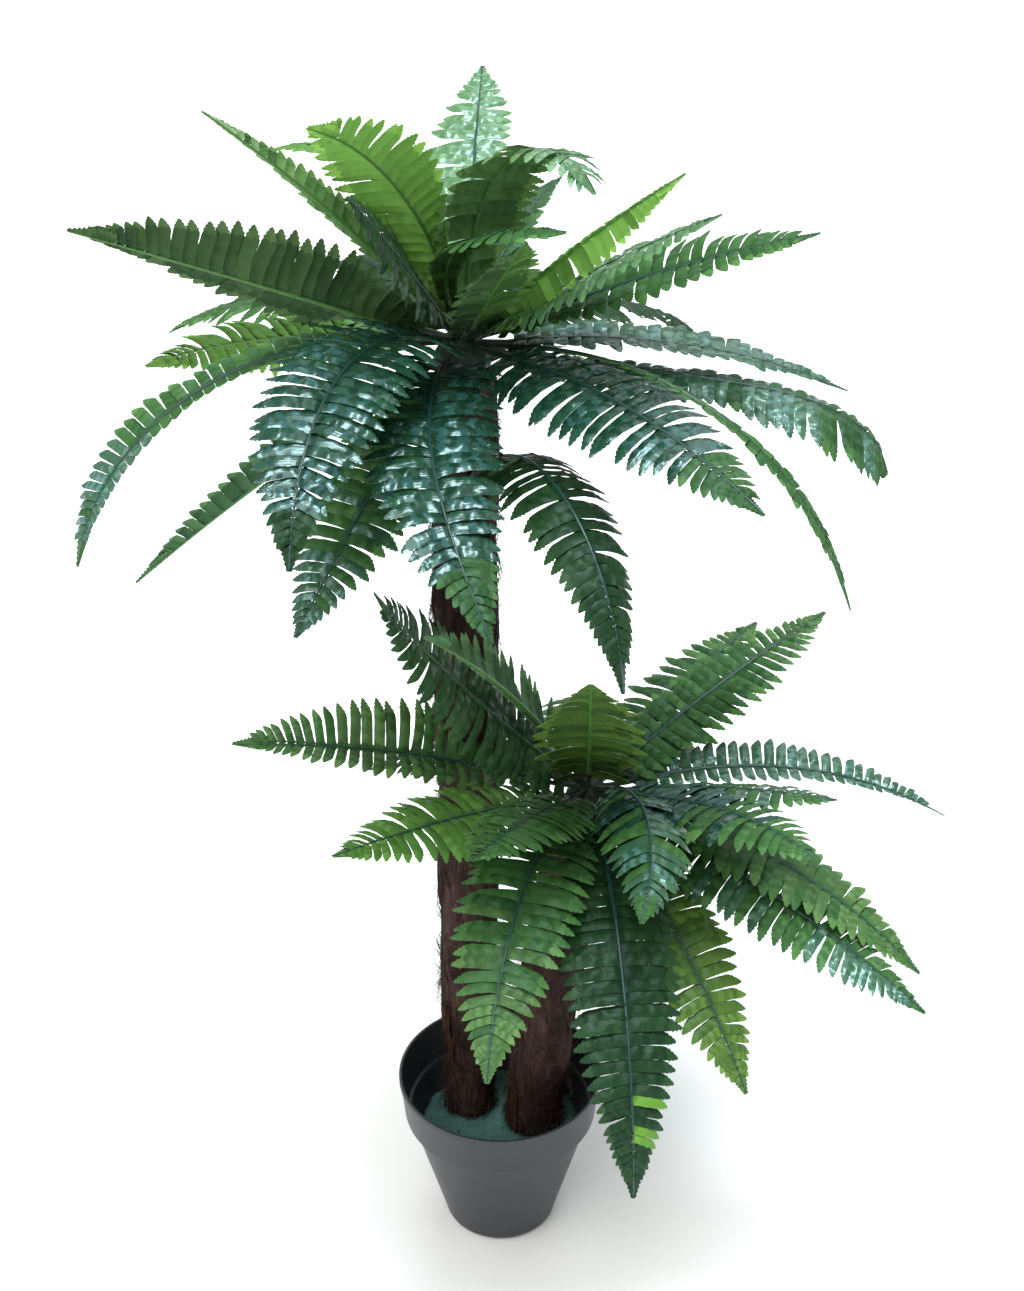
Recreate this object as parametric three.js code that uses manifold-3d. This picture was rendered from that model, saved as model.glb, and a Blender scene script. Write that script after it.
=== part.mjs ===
// Artificial tree fern: two trunks wrapped in palm fibre, each with a crown of cut-fabric fronds,
// set in a painted fill inside a plain plastic nursery pot. Millimetres and degrees, +Z up.
// The origin is the centre of the pot's flat underside. +X is to the right, -Y is the front.
import * as THREE from 'three';
import Module from 'manifold-3d';

const wasm = await Module();
wasm.setup();

// ---- driving dimensions ----

// Clear space left between solids that touch on the real plant.
const GAP = 0.3;

// The nursery pot: a tapered body, a ledge, and a collar that flares up to the rim.
const POT = {
  height: 168,
  rimRadius: 95.5,
  collarZ: 125,
  collarRadius: 90.5,
  bodyRadius: 86,
  baseRadius: 54,
  baseRound: 8,
  wall: 2.4,
  floor: 4,
  sides: 36,
};

// The painted fill that holds the trunks, well under the rim.
const FILL = { topZ: 104, crown: 3, sides: 36 };

// The trunks. Each follows a bent line from its flat foot on the fill to its flat top.
const TALL_TRUNK = {
  foot: [-29, 28],
  top: [-27, 28],
  bow: [0, 0],
  topZ: 848,
  footRadius: 23.5,
  wrapRadius: 27,
  phase: 0.4,
};
const SHORT_TRUNK = {
  foot: [33, 6],
  top: [78, 6],
  bow: [-9, 0],
  topZ: 452,
  footRadius: 27,
  wrapRadius: 29,
  phase: 2.1,
};
const TRUNK = { rings: 12, sides: 18 };

// The hub on each trunk: a ball with a flat underside, which the frond stalks fan out from.
const HUB = { radius: 34, flat: 24, sides: 24, steps: 9 };

// Every frond is one pressed blade: a bare stalk, then leaflets that widen fast and taper slowly.
const BLADE = {
  stations: 14,
  stalk: 0.1,
  shoulder: 0.16,
  stalkHalfWidth: 3,
  ribDepth: 2.4,
  taperPower: 3.5,
  taperFall: 0.9,
  hinge: 0.5,
};

// A blade is narrowed where it would pass through one already placed.
const CLEARANCE = { step: 2.5, rounds: 12 };

const COLOUR = { pot: 0x3e4246, fill: 0x28503f, fibre: 0x3a2119, hub: 0x24472c, frond: 0x2c5a34 };

// ---- fronds ----
// A frond leaves its hub at the angle rise, in the direction bearing, which turns from +X to +Y.
// Along its reach it bends down by droop and sideways by sway; curl above 1 keeps the bend for the
// far end. roll tips the blade about its rib, its left margin up, and fold is the angle at which
// each half hangs from the rib, or stands up from it where fold is negative. A frond with a level
// grows from the trunk that far from the hub's middle. One that is hinged is made as two solids.
const FROND = { droop: 15, sway: 0, roll: 0, reach: 275, breadth: 98, curl: 1, fold: 16, level: 0 };

const TALL_CROWN = [
  { bearing: 205, rise: 24, droop: 2, roll: 42, reach: 284, fold: -38 },
  { bearing: 222, rise: 49, droop: 12, roll: 52, reach: 270, fold: -46 },
  { bearing: 238, rise: 71, droop: 52, roll: 35, reach: 245, fold: -20 },
  { bearing: 87, rise: 42, droop: 20, reach: 270 },
  { bearing: -44, rise: 84, droop: 142, curl: 2, roll: -30, reach: 225 },
  { bearing: 246, rise: 64, droop: 66, sway: 110, reach: 190, breadth: 72 },
  { bearing: -77, rise: 36, droop: 6, reach: 220, fold: 24 },
  { bearing: -53, rise: 40, droop: 8, roll: -55, reach: 272, breadth: 86, fold: 38 },
  { bearing: -42, rise: 35, droop: 8, roll: 15, reach: 245, breadth: 80 },
  { bearing: -18, rise: 28, droop: 12, roll: 12, reach: 258, breadth: 90 },
  { bearing: 0, rise: 7, droop: 31, fold: 6 },
  { bearing: -7, rise: -5, droop: 76, curl: 5.5, reach: 328, fold: 34 },
  { bearing: -29, rise: 10, droop: 83, curl: 1.2, roll: -18, reach: 366, hinged: true },
  { bearing: -49, rise: 7, droop: 30, reach: 288, breadth: 108, fold: 26 },
  { bearing: -65, rise: 50, droop: 130, reach: 322, breadth: 88, fold: 38, level: -100, hinged: true },
  { bearing: -105, rise: 2, droop: 48, sway: 48, reach: 295, breadth: 105 },
  { bearing: -125, rise: 25, droop: 80, sway: 33, reach: 305, breadth: 108 },
  { bearing: -121, rise: -29, droop: 10, reach: 240 },
  { bearing: 197, rise: 11, droop: 88, curl: 1.2, roll: -28, reach: 350, hinged: true },
  { bearing: 165, rise: 3, droop: 26, roll: 50, reach: 243, breadth: 90 },
  { bearing: 207, rise: -23, droop: 10, roll: 42, fold: -38 },
  { bearing: 72, rise: 28, droop: 30, reach: 245, breadth: 80 },
  { bearing: 250, rise: 42, droop: 5, roll: -60, reach: 220, breadth: 78 },
  { bearing: 135, rise: 66, droop: 92, reach: 260, breadth: 90 },
  { bearing: 150, rise: 15, droop: 50 },
  { bearing: 45, rise: 10, droop: 50 },
  { bearing: 68, rise: 10, droop: 40 },
  { bearing: 92, rise: 5, droop: 45 },
  { bearing: 112, rise: 15, droop: 40 },
  { bearing: 135, rise: 5, droop: 45 },
];

const SHORT_CROWN = [
  { bearing: 188, rise: 22, droop: 18, roll: -10, reach: 278, fold: -4 },
  { bearing: 222, rise: 17, droop: 10, reach: 247, breadth: 95 },
  { bearing: -113, rise: 25, droop: 12, reach: 230, breadth: 90 },
  { bearing: 212, rise: 48, droop: -10, curl: 2, roll: -26, reach: 285, fold: 14 },
  { bearing: 230, rise: 58, droop: 20, roll: 42, reach: 280, breadth: 90, fold: -38 },
  { bearing: -93, rise: 52, droop: 10, reach: 270, breadth: 95, fold: 8 },
  { bearing: 52, rise: 18, reach: 245 },
  { bearing: 34, rise: 26, droop: 12, reach: 250, fold: 6 },
  { bearing: 3, rise: 16, droop: 50, roll: -8, reach: 298, breadth: 95 },
  { bearing: -45, rise: 22, droop: 38, curl: 2, reach: 217, breadth: 105 },
  { bearing: -25, rise: 20, roll: -14, reach: 190, breadth: 95 },
  { bearing: -31, rise: -9, droop: 22, reach: 303, breadth: 105 },
  { bearing: -23, rise: 0, droop: 43, reach: 292, fold: 8 },
  { bearing: -62, rise: 36, droop: 70, sway: -45, reach: 212 },
  { bearing: -84, rise: 5, droop: 90, reach: 352, breadth: 104 },
  { bearing: -59, rise: -20, droop: 30, reach: 256 },
  { bearing: -115, rise: 10, droop: 65, sway: 17, reach: 278, breadth: 108, fold: 10 },
  { bearing: 60, rise: -5, droop: 40, reach: 260 },
  { bearing: 90, rise: 5, droop: 45, reach: 265 },
  { bearing: 118, rise: 0, droop: 40, reach: 265 },
  { bearing: 140, rise: 0, droop: 40, reach: 255, breadth: 90 },
];

// ---- building blocks ----

const radians = (degrees) => THREE.MathUtils.degToRad(degrees);

// A frame of vertices and triangles as a geometry, turned to face out.
function geometryOf(points, faces) {
  const geometry = new THREE.BufferGeometry();
  geometry.setAttribute('position', new THREE.Float32BufferAttribute(points.flat(), 3));
  geometry.setIndex(faces.flat());
  geometry.computeVertexNormals();
  return geometry;
}

// Walls between consecutive rings of equal size, with a fan on the first and the last ring. Walls
// side by side are split along opposite diagonals, so that the two faces of a thin twisted blade
// run side by side, and the fans start at its rib, which a folded section is split along.
function loft(rings) {
  const size = rings[0].length;
  const faces = [];
  for (let ring = 0; ring + 1 < rings.length; ring += 1) {
    for (let side = 0; side < size; side += 1) {
      const a = ring * size + side;
      const b = ring * size + ((side + 1) % size);
      if (side % 2) faces.push([a, b, a + size], [b, b + size, a + size]);
      else faces.push([a, b, b + size], [a, b + size, a + size]);
    }
  }
  const last = (rings.length - 1) * size;
  for (let side = 2; side < size; side += 1) {
    const next = (side + 1) % size;
    faces.push([1, next, side], [last + 1, last + side, last + next]);
  }
  return { points: rings.flat(), faces };
}

// A profile of [radius, z] pairs from axis to axis, turned about Z.
function turned(profile, sides) {
  const points = profile.map(([radius, z]) => new THREE.Vector2(radius, z));
  return new THREE.LatheGeometry(points, sides).rotateX(Math.PI / 2);
}

function meshOf(name, geometry, colour, roughness) {
  const material = new THREE.MeshStandardMaterial({ color: colour, roughness, metalness: 0 });
  const mesh = new THREE.Mesh(geometry, material);
  mesh.name = name;
  return mesh;
}

// ---- pot and fill ----

// The radius of the pot body's outer wall at a height.
function bodyRadiusAt(z) {
  const share = (z - POT.baseRound) / (POT.collarZ - POT.baseRound);
  return THREE.MathUtils.lerp(POT.baseRadius, POT.bodyRadius, share);
}

function potGeometry() {
  const round = [0, 30, 60, 90].map((angle) => {
    const turn = radians(angle);
    return [
      POT.baseRadius - POT.baseRound * (1 - Math.sin(turn)),
      POT.baseRound * (1 - Math.cos(turn)),
    ];
  });
  const ledge = POT.collarZ + POT.wall;
  return turned([
    [0, 0],
    ...round,
    [POT.bodyRadius, POT.collarZ],
    [POT.collarRadius, POT.collarZ],
    [POT.rimRadius, POT.height],
    [POT.rimRadius - POT.wall, POT.height],
    [POT.collarRadius - POT.wall, ledge],
    [bodyRadiusAt(ledge) - POT.wall, ledge],
    [bodyRadiusAt(POT.floor) - POT.wall, POT.floor],
    [0, POT.floor],
  ], POT.sides);
}

function fillGeometry() {
  const inset = POT.wall + GAP;
  return turned([
    [0, POT.floor + GAP],
    [bodyRadiusAt(POT.floor + GAP) - inset, POT.floor + GAP],
    [bodyRadiusAt(FILL.topZ - FILL.crown) - inset, FILL.topZ - FILL.crown],
    [bodyRadiusAt(FILL.topZ) * 0.8, FILL.topZ],
    [0, FILL.topZ],
  ], FILL.sides);
}

// ---- trunks and hubs ----

// The middle of a trunk at a share of its height.
function trunkAxis(trunk, share) {
  const bend = 4 * share * (1 - share);
  const footZ = FILL.topZ + GAP;
  return new THREE.Vector3(
    THREE.MathUtils.lerp(trunk.foot[0], trunk.top[0], share) + trunk.bow[0] * bend,
    THREE.MathUtils.lerp(trunk.foot[1], trunk.top[1], share) + trunk.bow[1] * bend,
    THREE.MathUtils.lerp(footZ, trunk.topZ, share),
  );
}

// The share of a trunk's height at a height above the floor.
function shareAt(trunk, z) {
  const footZ = FILL.topZ + GAP;
  return (z - footZ) / (trunk.topZ - footZ);
}

// A point on a trunk's side, or off it. The wrap is thin at the foot and lumpy above it.
function trunkSurface(trunk, share, angle, off = 0) {
  const swell = THREE.MathUtils.smoothstep(share, 0, 0.35);
  const lump = Math.sin(3 * angle + 9 * share + trunk.phase) + Math.sin(2 * angle - 5 * share);
  const radius = THREE.MathUtils.lerp(trunk.footRadius, trunk.wrapRadius, swell) + 0.7 * lump + off;
  const out = new THREE.Vector3(Math.cos(angle), Math.sin(angle), 0);
  return trunkAxis(trunk, share).addScaledVector(out, radius);
}

function trunkShape(trunk) {
  const rings = [];
  for (let ring = 0; ring <= TRUNK.rings; ring += 1) {
    const points = [];
    for (let side = 0; side < TRUNK.sides; side += 1) {
      const angle = (2 * Math.PI * side) / TRUNK.sides;
      points.push(trunkSurface(trunk, ring / TRUNK.rings, angle).toArray());
    }
    rings.push(points);
  }
  return loft(rings);
}

function trunkGeometry(trunk) {
  const { points, faces } = trunkShape(trunk);
  return geometryOf(points, faces);
}

// The centre of the ball that tops a trunk.
function hubCentre(trunk) {
  const drop = Math.sqrt(HUB.radius ** 2 - HUB.flat ** 2);
  return new THREE.Vector3(trunk.top[0], trunk.top[1], trunk.topZ + GAP + drop);
}

function hubGeometry(trunk) {
  const start = -Math.acos(HUB.flat / HUB.radius);
  const profile = [[0, HUB.radius * Math.sin(start)]];
  for (let step = 0; step < HUB.steps; step += 1) {
    const angle = THREE.MathUtils.lerp(start, Math.PI / 2, step / HUB.steps);
    profile.push([HUB.radius * Math.cos(angle), HUB.radius * Math.sin(angle)]);
  }
  profile.push([0, HUB.radius]);
  const centre = hubCentre(trunk);
  return turned(profile, HUB.sides).translate(centre.x, centre.y, centre.z);
}

// ---- frond blades ----

// The half-width of a blade at a share of its reach, before its breadth is applied.
function outline(share) {
  const opening = THREE.MathUtils.clamp((share - BLADE.stalk) / BLADE.shoulder, 0, 1);
  return Math.sqrt(opening) * (1 - share ** BLADE.taperPower) ** BLADE.taperFall;
}

// The direction in which the rib runs at a share of its reach.
function heading(frond, share) {
  const lift = radians(frond.rise - frond.droop * share ** frond.curl);
  const bearing = radians(frond.bearing + frond.sway * share);
  return new THREE.Vector3(
    Math.cos(lift) * Math.cos(bearing),
    Math.cos(lift) * Math.sin(bearing),
    Math.sin(lift),
  );
}

// Where the rib leaves the hub's ball or, for a frond with a level, the side of the trunk.
function ribFoot(frond, trunk) {
  if (!frond.level) {
    return hubCentre(trunk).addScaledVector(heading(frond, 0), HUB.radius + GAP);
  }
  const z = hubCentre(trunk).z + frond.level;
  const angle = radians(frond.bearing);
  const lean = (BLADE.ribDepth / 2) * Math.sin(radians(frond.rise));
  return trunkSurface(trunk, shareAt(trunk, z), angle, GAP + lean);
}

// The rib as stations from its foot out, each with its place, its sideways and upward directions.
function ribStations(frond, trunk) {
  const place = ribFoot(frond, trunk);
  const step = 1 / BLADE.stations;
  const stations = [];
  for (let index = 0; index <= BLADE.stations; index += 1) {
    const share = index * step;
    if (index > 0) place.addScaledVector(heading(frond, share - step / 2), frond.reach * step);
    const along = heading(frond, share);
    const bearing = radians(frond.bearing + frond.sway * share);
    const side = new THREE.Vector3(-Math.sin(bearing), Math.cos(bearing), 0);
    side.applyAxisAngle(along, radians(frond.roll * Math.min(1, share * 4)));
    const up = along.clone().cross(side);
    stations.push({ share, place: place.clone(), along, side, up, kept: [1, 1] });
  }
  return stations;
}

// One margin of a blade: sign is 1 on the left of the rib, looking out, and -1 on the right.
function marginPoint(frond, { share, place, along, side, kept }, sign) {
  const full = frond.breadth / 2;
  const width = Math.max(full * outline(share) * kept[sign > 0 ? 1 : 0], BLADE.stalkHalfWidth);
  const across = side.clone().multiplyScalar(sign).applyAxisAngle(along, -sign * radians(frond.fold));
  return place.clone().addScaledVector(across, width);
}

// A closed thin blade over some stations. Each ring runs left edge, rib top, right edge, rib bottom.
function bladeShape(frond, stations) {
  return loft(stations.map((station) => {
    const half = station.up.clone().multiplyScalar(BLADE.ribDepth / 2);
    return [
      marginPoint(frond, station, 1),
      station.place.clone().add(half),
      marginPoint(frond, station, -1),
      station.place.clone().sub(half),
    ].map((point) => point.toArray());
  }));
}

function manifoldOf({ points, faces }) {
  return new wasm.Manifold(new wasm.Mesh({
    numProp: 3,
    vertProperties: new Float32Array(points.flat()),
    triVerts: new Uint32Array(faces.flat()),
  }));
}

function boxesMeet(a, b) {
  const [boxA, boxB] = [a.boundingBox(), b.boundingBox()];
  return [0, 1, 2].every((axis) => boxA.min[axis] < boxB.max[axis] && boxB.min[axis] < boxA.max[axis]);
}

// Narrows the margins near each point at which a blade meets a solid that is already in place.
function narrow(frond, stations, clash) {
  const { vertProperties, numProp } = clash.getMesh();
  for (let start = 0; start < vertProperties.length; start += numProp) {
    const point = new THREE.Vector3(...vertProperties.slice(start, start + 3));
    const distances = stations.map(({ place }) => place.distanceTo(point));
    const nearest = distances.indexOf(Math.min(...distances));
    for (const { place, side, share, kept } of stations.slice(Math.max(nearest - 1, 0), nearest + 2)) {
      const across = point.clone().sub(place).dot(side);
      const margin = across > 0 ? 1 : 0;
      const full = Math.max((frond.breadth / 2) * outline(share), 1);
      kept[margin] = Math.min(kept[margin], Math.max(Math.abs(across) - CLEARANCE.step, 0) / full);
    }
  }
}

// A frond's stations, its margins drawn in until its blade is clear of all that is in place.
function clearStations(frond, trunk, placed) {
  const stations = ribStations(frond, trunk);
  for (let round = 0; round < CLEARANCE.rounds; round += 1) {
    const blade = manifoldOf(bladeShape(frond, stations));
    const clashes = placed
      .filter((other) => boxesMeet(blade, other))
      .map((other) => blade.intersect(other))
      .filter((clash) => clash.volume() > 0);
    if (!clashes.length) break;
    clashes.forEach((clash) => narrow(frond, stations, clash));
  }
  placed.push(manifoldOf(bladeShape(frond, stations)));
  return stations;
}

// A hinged frond's stations in two runs, which share the bend but for a gap.
function partedRuns(stations) {
  const middle = Math.round(stations.length * BLADE.hinge);
  const bend = stations[middle];
  const after = { ...bend, place: bend.place.clone().addScaledVector(bend.along, GAP) };
  return [stations.slice(0, middle + 1), [after, ...stations.slice(middle + 1)]];
}

// ---- assembly ----

// A crown's fronds as meshes, each narrowed where it would pass through an earlier one.
function crown(label, rows, trunk, placed) {
  const group = new THREE.Group();
  rows.forEach((row, index) => {
    const frond = { ...FROND, ...row };
    const name = `${label}_frond_${String(index + 1).padStart(2, '0')}`;
    const stations = clearStations(frond, trunk, placed);
    const runs = frond.hinged ? partedRuns(stations) : [stations];
    runs.forEach((run, part) => {
      const { points, faces } = bladeShape(frond, run);
      const ending = frond.hinged ? ['_inner', '_outer'][part] : '';
      group.add(meshOf(name + ending, geometryOf(points, faces), COLOUR.frond, 0.5));
    });
  });
  return group;
}

function trunkWithHub(label, trunk) {
  const group = new THREE.Group();
  group.add(
    meshOf(`${label}_trunk`, trunkGeometry(trunk), COLOUR.fibre, 0.95),
    meshOf(`${label}_hub`, hubGeometry(trunk), COLOUR.hub, 0.6),
  );
  return group;
}

// The tall trunk stands in the way of the short crown, so its blades are kept clear of it.
const placed = [manifoldOf(trunkShape(TALL_TRUNK)), manifoldOf(trunkShape(SHORT_TRUNK))];

const plant = new THREE.Group();
plant.add(
  meshOf('pot', potGeometry(), COLOUR.pot, 0.55),
  meshOf('fill', fillGeometry(), COLOUR.fill, 0.8),
  trunkWithHub('tall', TALL_TRUNK),
  trunkWithHub('short', SHORT_TRUNK),
  crown('tall', TALL_CROWN, TALL_TRUNK, placed),
  crown('short', SHORT_CROWN, SHORT_TRUNK, placed),
);

export default plant;
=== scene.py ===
"""Artificial tree fern with two trunks in a plain pot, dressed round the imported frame.

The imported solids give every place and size: a frond's blade is read back as a spine with two
margins, and leaflets are cut and laid along it. Lengths are metres, +Z is up.
"""

import logging
import math
import random
from abc import ABC, abstractmethod
from dataclasses import dataclass, field
from enum import Enum, IntEnum
from typing import Callable, Iterator, Sequence

import bmesh
import bpy
import numpy as np
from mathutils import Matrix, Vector, noise
from mathutils.kdtree import KDTree


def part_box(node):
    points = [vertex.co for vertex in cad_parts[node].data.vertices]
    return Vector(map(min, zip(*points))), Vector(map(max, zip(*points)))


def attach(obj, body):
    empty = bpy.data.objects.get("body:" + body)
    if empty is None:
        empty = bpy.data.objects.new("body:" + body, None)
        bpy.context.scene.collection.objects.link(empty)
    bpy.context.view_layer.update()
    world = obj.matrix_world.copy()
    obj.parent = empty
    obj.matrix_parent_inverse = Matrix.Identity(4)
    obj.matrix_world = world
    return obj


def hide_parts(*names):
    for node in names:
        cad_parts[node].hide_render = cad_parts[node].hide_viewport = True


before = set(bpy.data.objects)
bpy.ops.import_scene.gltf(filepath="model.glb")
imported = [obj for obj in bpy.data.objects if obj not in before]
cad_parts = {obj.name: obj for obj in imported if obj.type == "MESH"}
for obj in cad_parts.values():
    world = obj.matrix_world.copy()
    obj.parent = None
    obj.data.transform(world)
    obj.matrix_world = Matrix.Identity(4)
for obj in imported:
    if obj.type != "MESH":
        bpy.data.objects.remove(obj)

LOG = logging.getLogger("tree_fern")
BODY = "root"
LEAF_MAP = "leaf"
MM = 0.001
# Keeps a division away from nothing, and says how near two coordinates count as one.
TINY = 1e-12
SAME = 1e-4

Array = np.ndarray
Colour = tuple[float, float, float]
Object = bpy.types.Object
Material = bpy.types.Material
Node = bpy.types.Node
Socket = bpy.types.NodeSocket


# ---------------------------------------------------------------- helpers


def deselect() -> None:
    """Leaves object mode's selection empty."""
    if bpy.context.object and bpy.context.object.mode != "OBJECT":
        bpy.ops.object.mode_set(mode="OBJECT")
    bpy.ops.object.select_all(action="DESELECT")


def activate(obj: Object) -> None:
    """Makes one object the only selected one and the active one.

    Args:
        obj: The object to work on next.
    """
    deselect()
    obj.select_set(True)
    bpy.context.view_layer.objects.active = obj


def primitive(add: Callable[..., object], name: str, **settings: object) -> Object:
    """Adds a primitive and applies its transform.

    Args:
        add: The operator that adds it.
        name: The new object's name.
        **settings: The operator's own values.

    Returns:
        The object.
    """
    deselect()
    add(**settings)
    obj = bpy.context.object
    obj.name = name
    bpy.ops.object.transform_apply(location=True, rotation=True, scale=True)
    return obj


def select_vertices(obj: Object, wanted: Callable[[Vector], bool]) -> None:
    """Selects, in edit mode, the vertices whose place passes a test, and nothing else.

    Args:
        obj: The mesh object in edit mode.
        wanted: Says of a place whether its vertex is selected.
    """
    mesh = bmesh.from_edit_mesh(obj.data)
    for vertex in mesh.verts:
        vertex.select_set(wanted(vertex.co))
    mesh.select_flush_mode()
    bmesh.update_edit_mesh(obj.data)


def select_faces(obj: Object, wanted: Callable[[bmesh.types.BMFace], bool]) -> None:
    """Selects, in edit mode, the faces that pass a test, and nothing else.

    Args:
        obj: The mesh object in edit mode.
        wanted: Says of a face whether it is selected.
    """
    mesh = bmesh.from_edit_mesh(obj.data)
    for face in mesh.faces:
        face.select_set(False)
    for face in mesh.faces:
        if wanted(face):
            face.select_set(True)
    bmesh.update_edit_mesh(obj.data)


def apply_modifier(obj: Object, kind: str, **settings: object) -> None:
    """Adds a modifier to an object and applies it.

    Args:
        obj: The object.
        kind: The modifier's type.
        **settings: The modifier's own values.
    """
    activate(obj)
    modifier = obj.modifiers.new(kind.lower(), kind)
    for key, value in settings.items():
        setattr(modifier, key, value)
    bpy.ops.object.modifier_apply(modifier=modifier.name)


def face_outwards() -> None:
    """Turns all faces of the mesh in edit mode outwards, and goes back to object mode."""
    bpy.ops.mesh.select_all(action="SELECT")
    bpy.ops.mesh.normals_make_consistent(inside=False)
    bpy.ops.object.mode_set(mode="OBJECT")


def turned(name: str, foot: Vector, sides: int, scale: float, start: float,
           profile: Sequence[tuple[float, float]]) -> Object:
    """Models a turned solid by extruding and scaling a disc ring by ring.

    Args:
        name: The object's name.
        foot: The middle of its underside.
        sides: How many sides it has.
        scale: Metres to each unit of its radii and heights.
        start: The radius of its underside.
        profile: Radius and height of each ring in turn.

    Returns:
        The object.
    """
    obj = primitive(bpy.ops.mesh.primitive_circle_add, name, vertices=sides,
                    radius=start * scale, fill_type="NGON", location=foot)
    bpy.ops.object.mode_set(mode="EDIT")
    bpy.ops.mesh.select_all(action="SELECT")
    radius, height = start, 0.0
    for wide, tall in profile:
        rise = (0.0, 0.0, (tall - height) * scale)
        bpy.ops.mesh.extrude_region_move(TRANSFORM_OT_translate={"value": rise})
        grow, centre = wide / radius, (foot.x, foot.y, foot.z + tall * scale)
        bpy.ops.transform.resize(value=(grow, grow, 1.0), center_override=centre)
        radius, height = wide, tall
    face_outwards()
    return obj


def smooth(obj: Object, degrees: float) -> None:
    """Shades an object smooth, but for edges sharper than an angle."""
    activate(obj)
    bpy.ops.object.shade_smooth_by_angle(angle=math.radians(degrees))


def points_of(obj: Object) -> Array:
    """The vertices of an object's mesh as an (n, 3) array."""
    flat = np.zeros(len(obj.data.vertices) * 3)
    obj.data.vertices.foreach_get("co", flat)
    return flat.reshape(-1, 3)


def set_points(obj: Object, points: Array) -> None:
    """Gives an object's mesh new vertex places."""
    obj.data.vertices.foreach_set("co", points.ravel())
    obj.data.update()


def unit(vectors: Array) -> Array:
    """Vectors scaled to length one along the last axis."""
    return vectors / np.maximum(np.linalg.norm(vectors, axis=-1, keepdims=True), TINY)


def swung(first: Array, second: Array, angle: float) -> tuple[Array, Array]:
    """Two square directions swung in their own plane, the first towards the second.

    Args:
        first: A direction.
        second: A direction square to it.
        angle: How far they swing, in radians.

    Returns:
        Both directions after the swing.
    """
    cos, sin = math.cos(angle), math.sin(angle)
    return first * cos + second * sin, second * cos - first * sin


def wobble(x: float, y: float, z: float) -> float:
    """Smooth noise at a place, from about -1 to 1."""
    return noise.noise(Vector((x, y, z)))


def finish_piece(obj: Object, slot: str, *nodes: str) -> Object:
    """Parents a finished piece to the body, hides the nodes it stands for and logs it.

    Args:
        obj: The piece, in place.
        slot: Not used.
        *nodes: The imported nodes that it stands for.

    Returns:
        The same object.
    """
    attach(obj, BODY)
    if nodes:
        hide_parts(*nodes)
    LOG.info("%s: %d faces, stands for %s", obj.name, len(obj.data.polygons), nodes or "nothing")
    return obj


# ---------------------------------------------------------------- finishes


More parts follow.
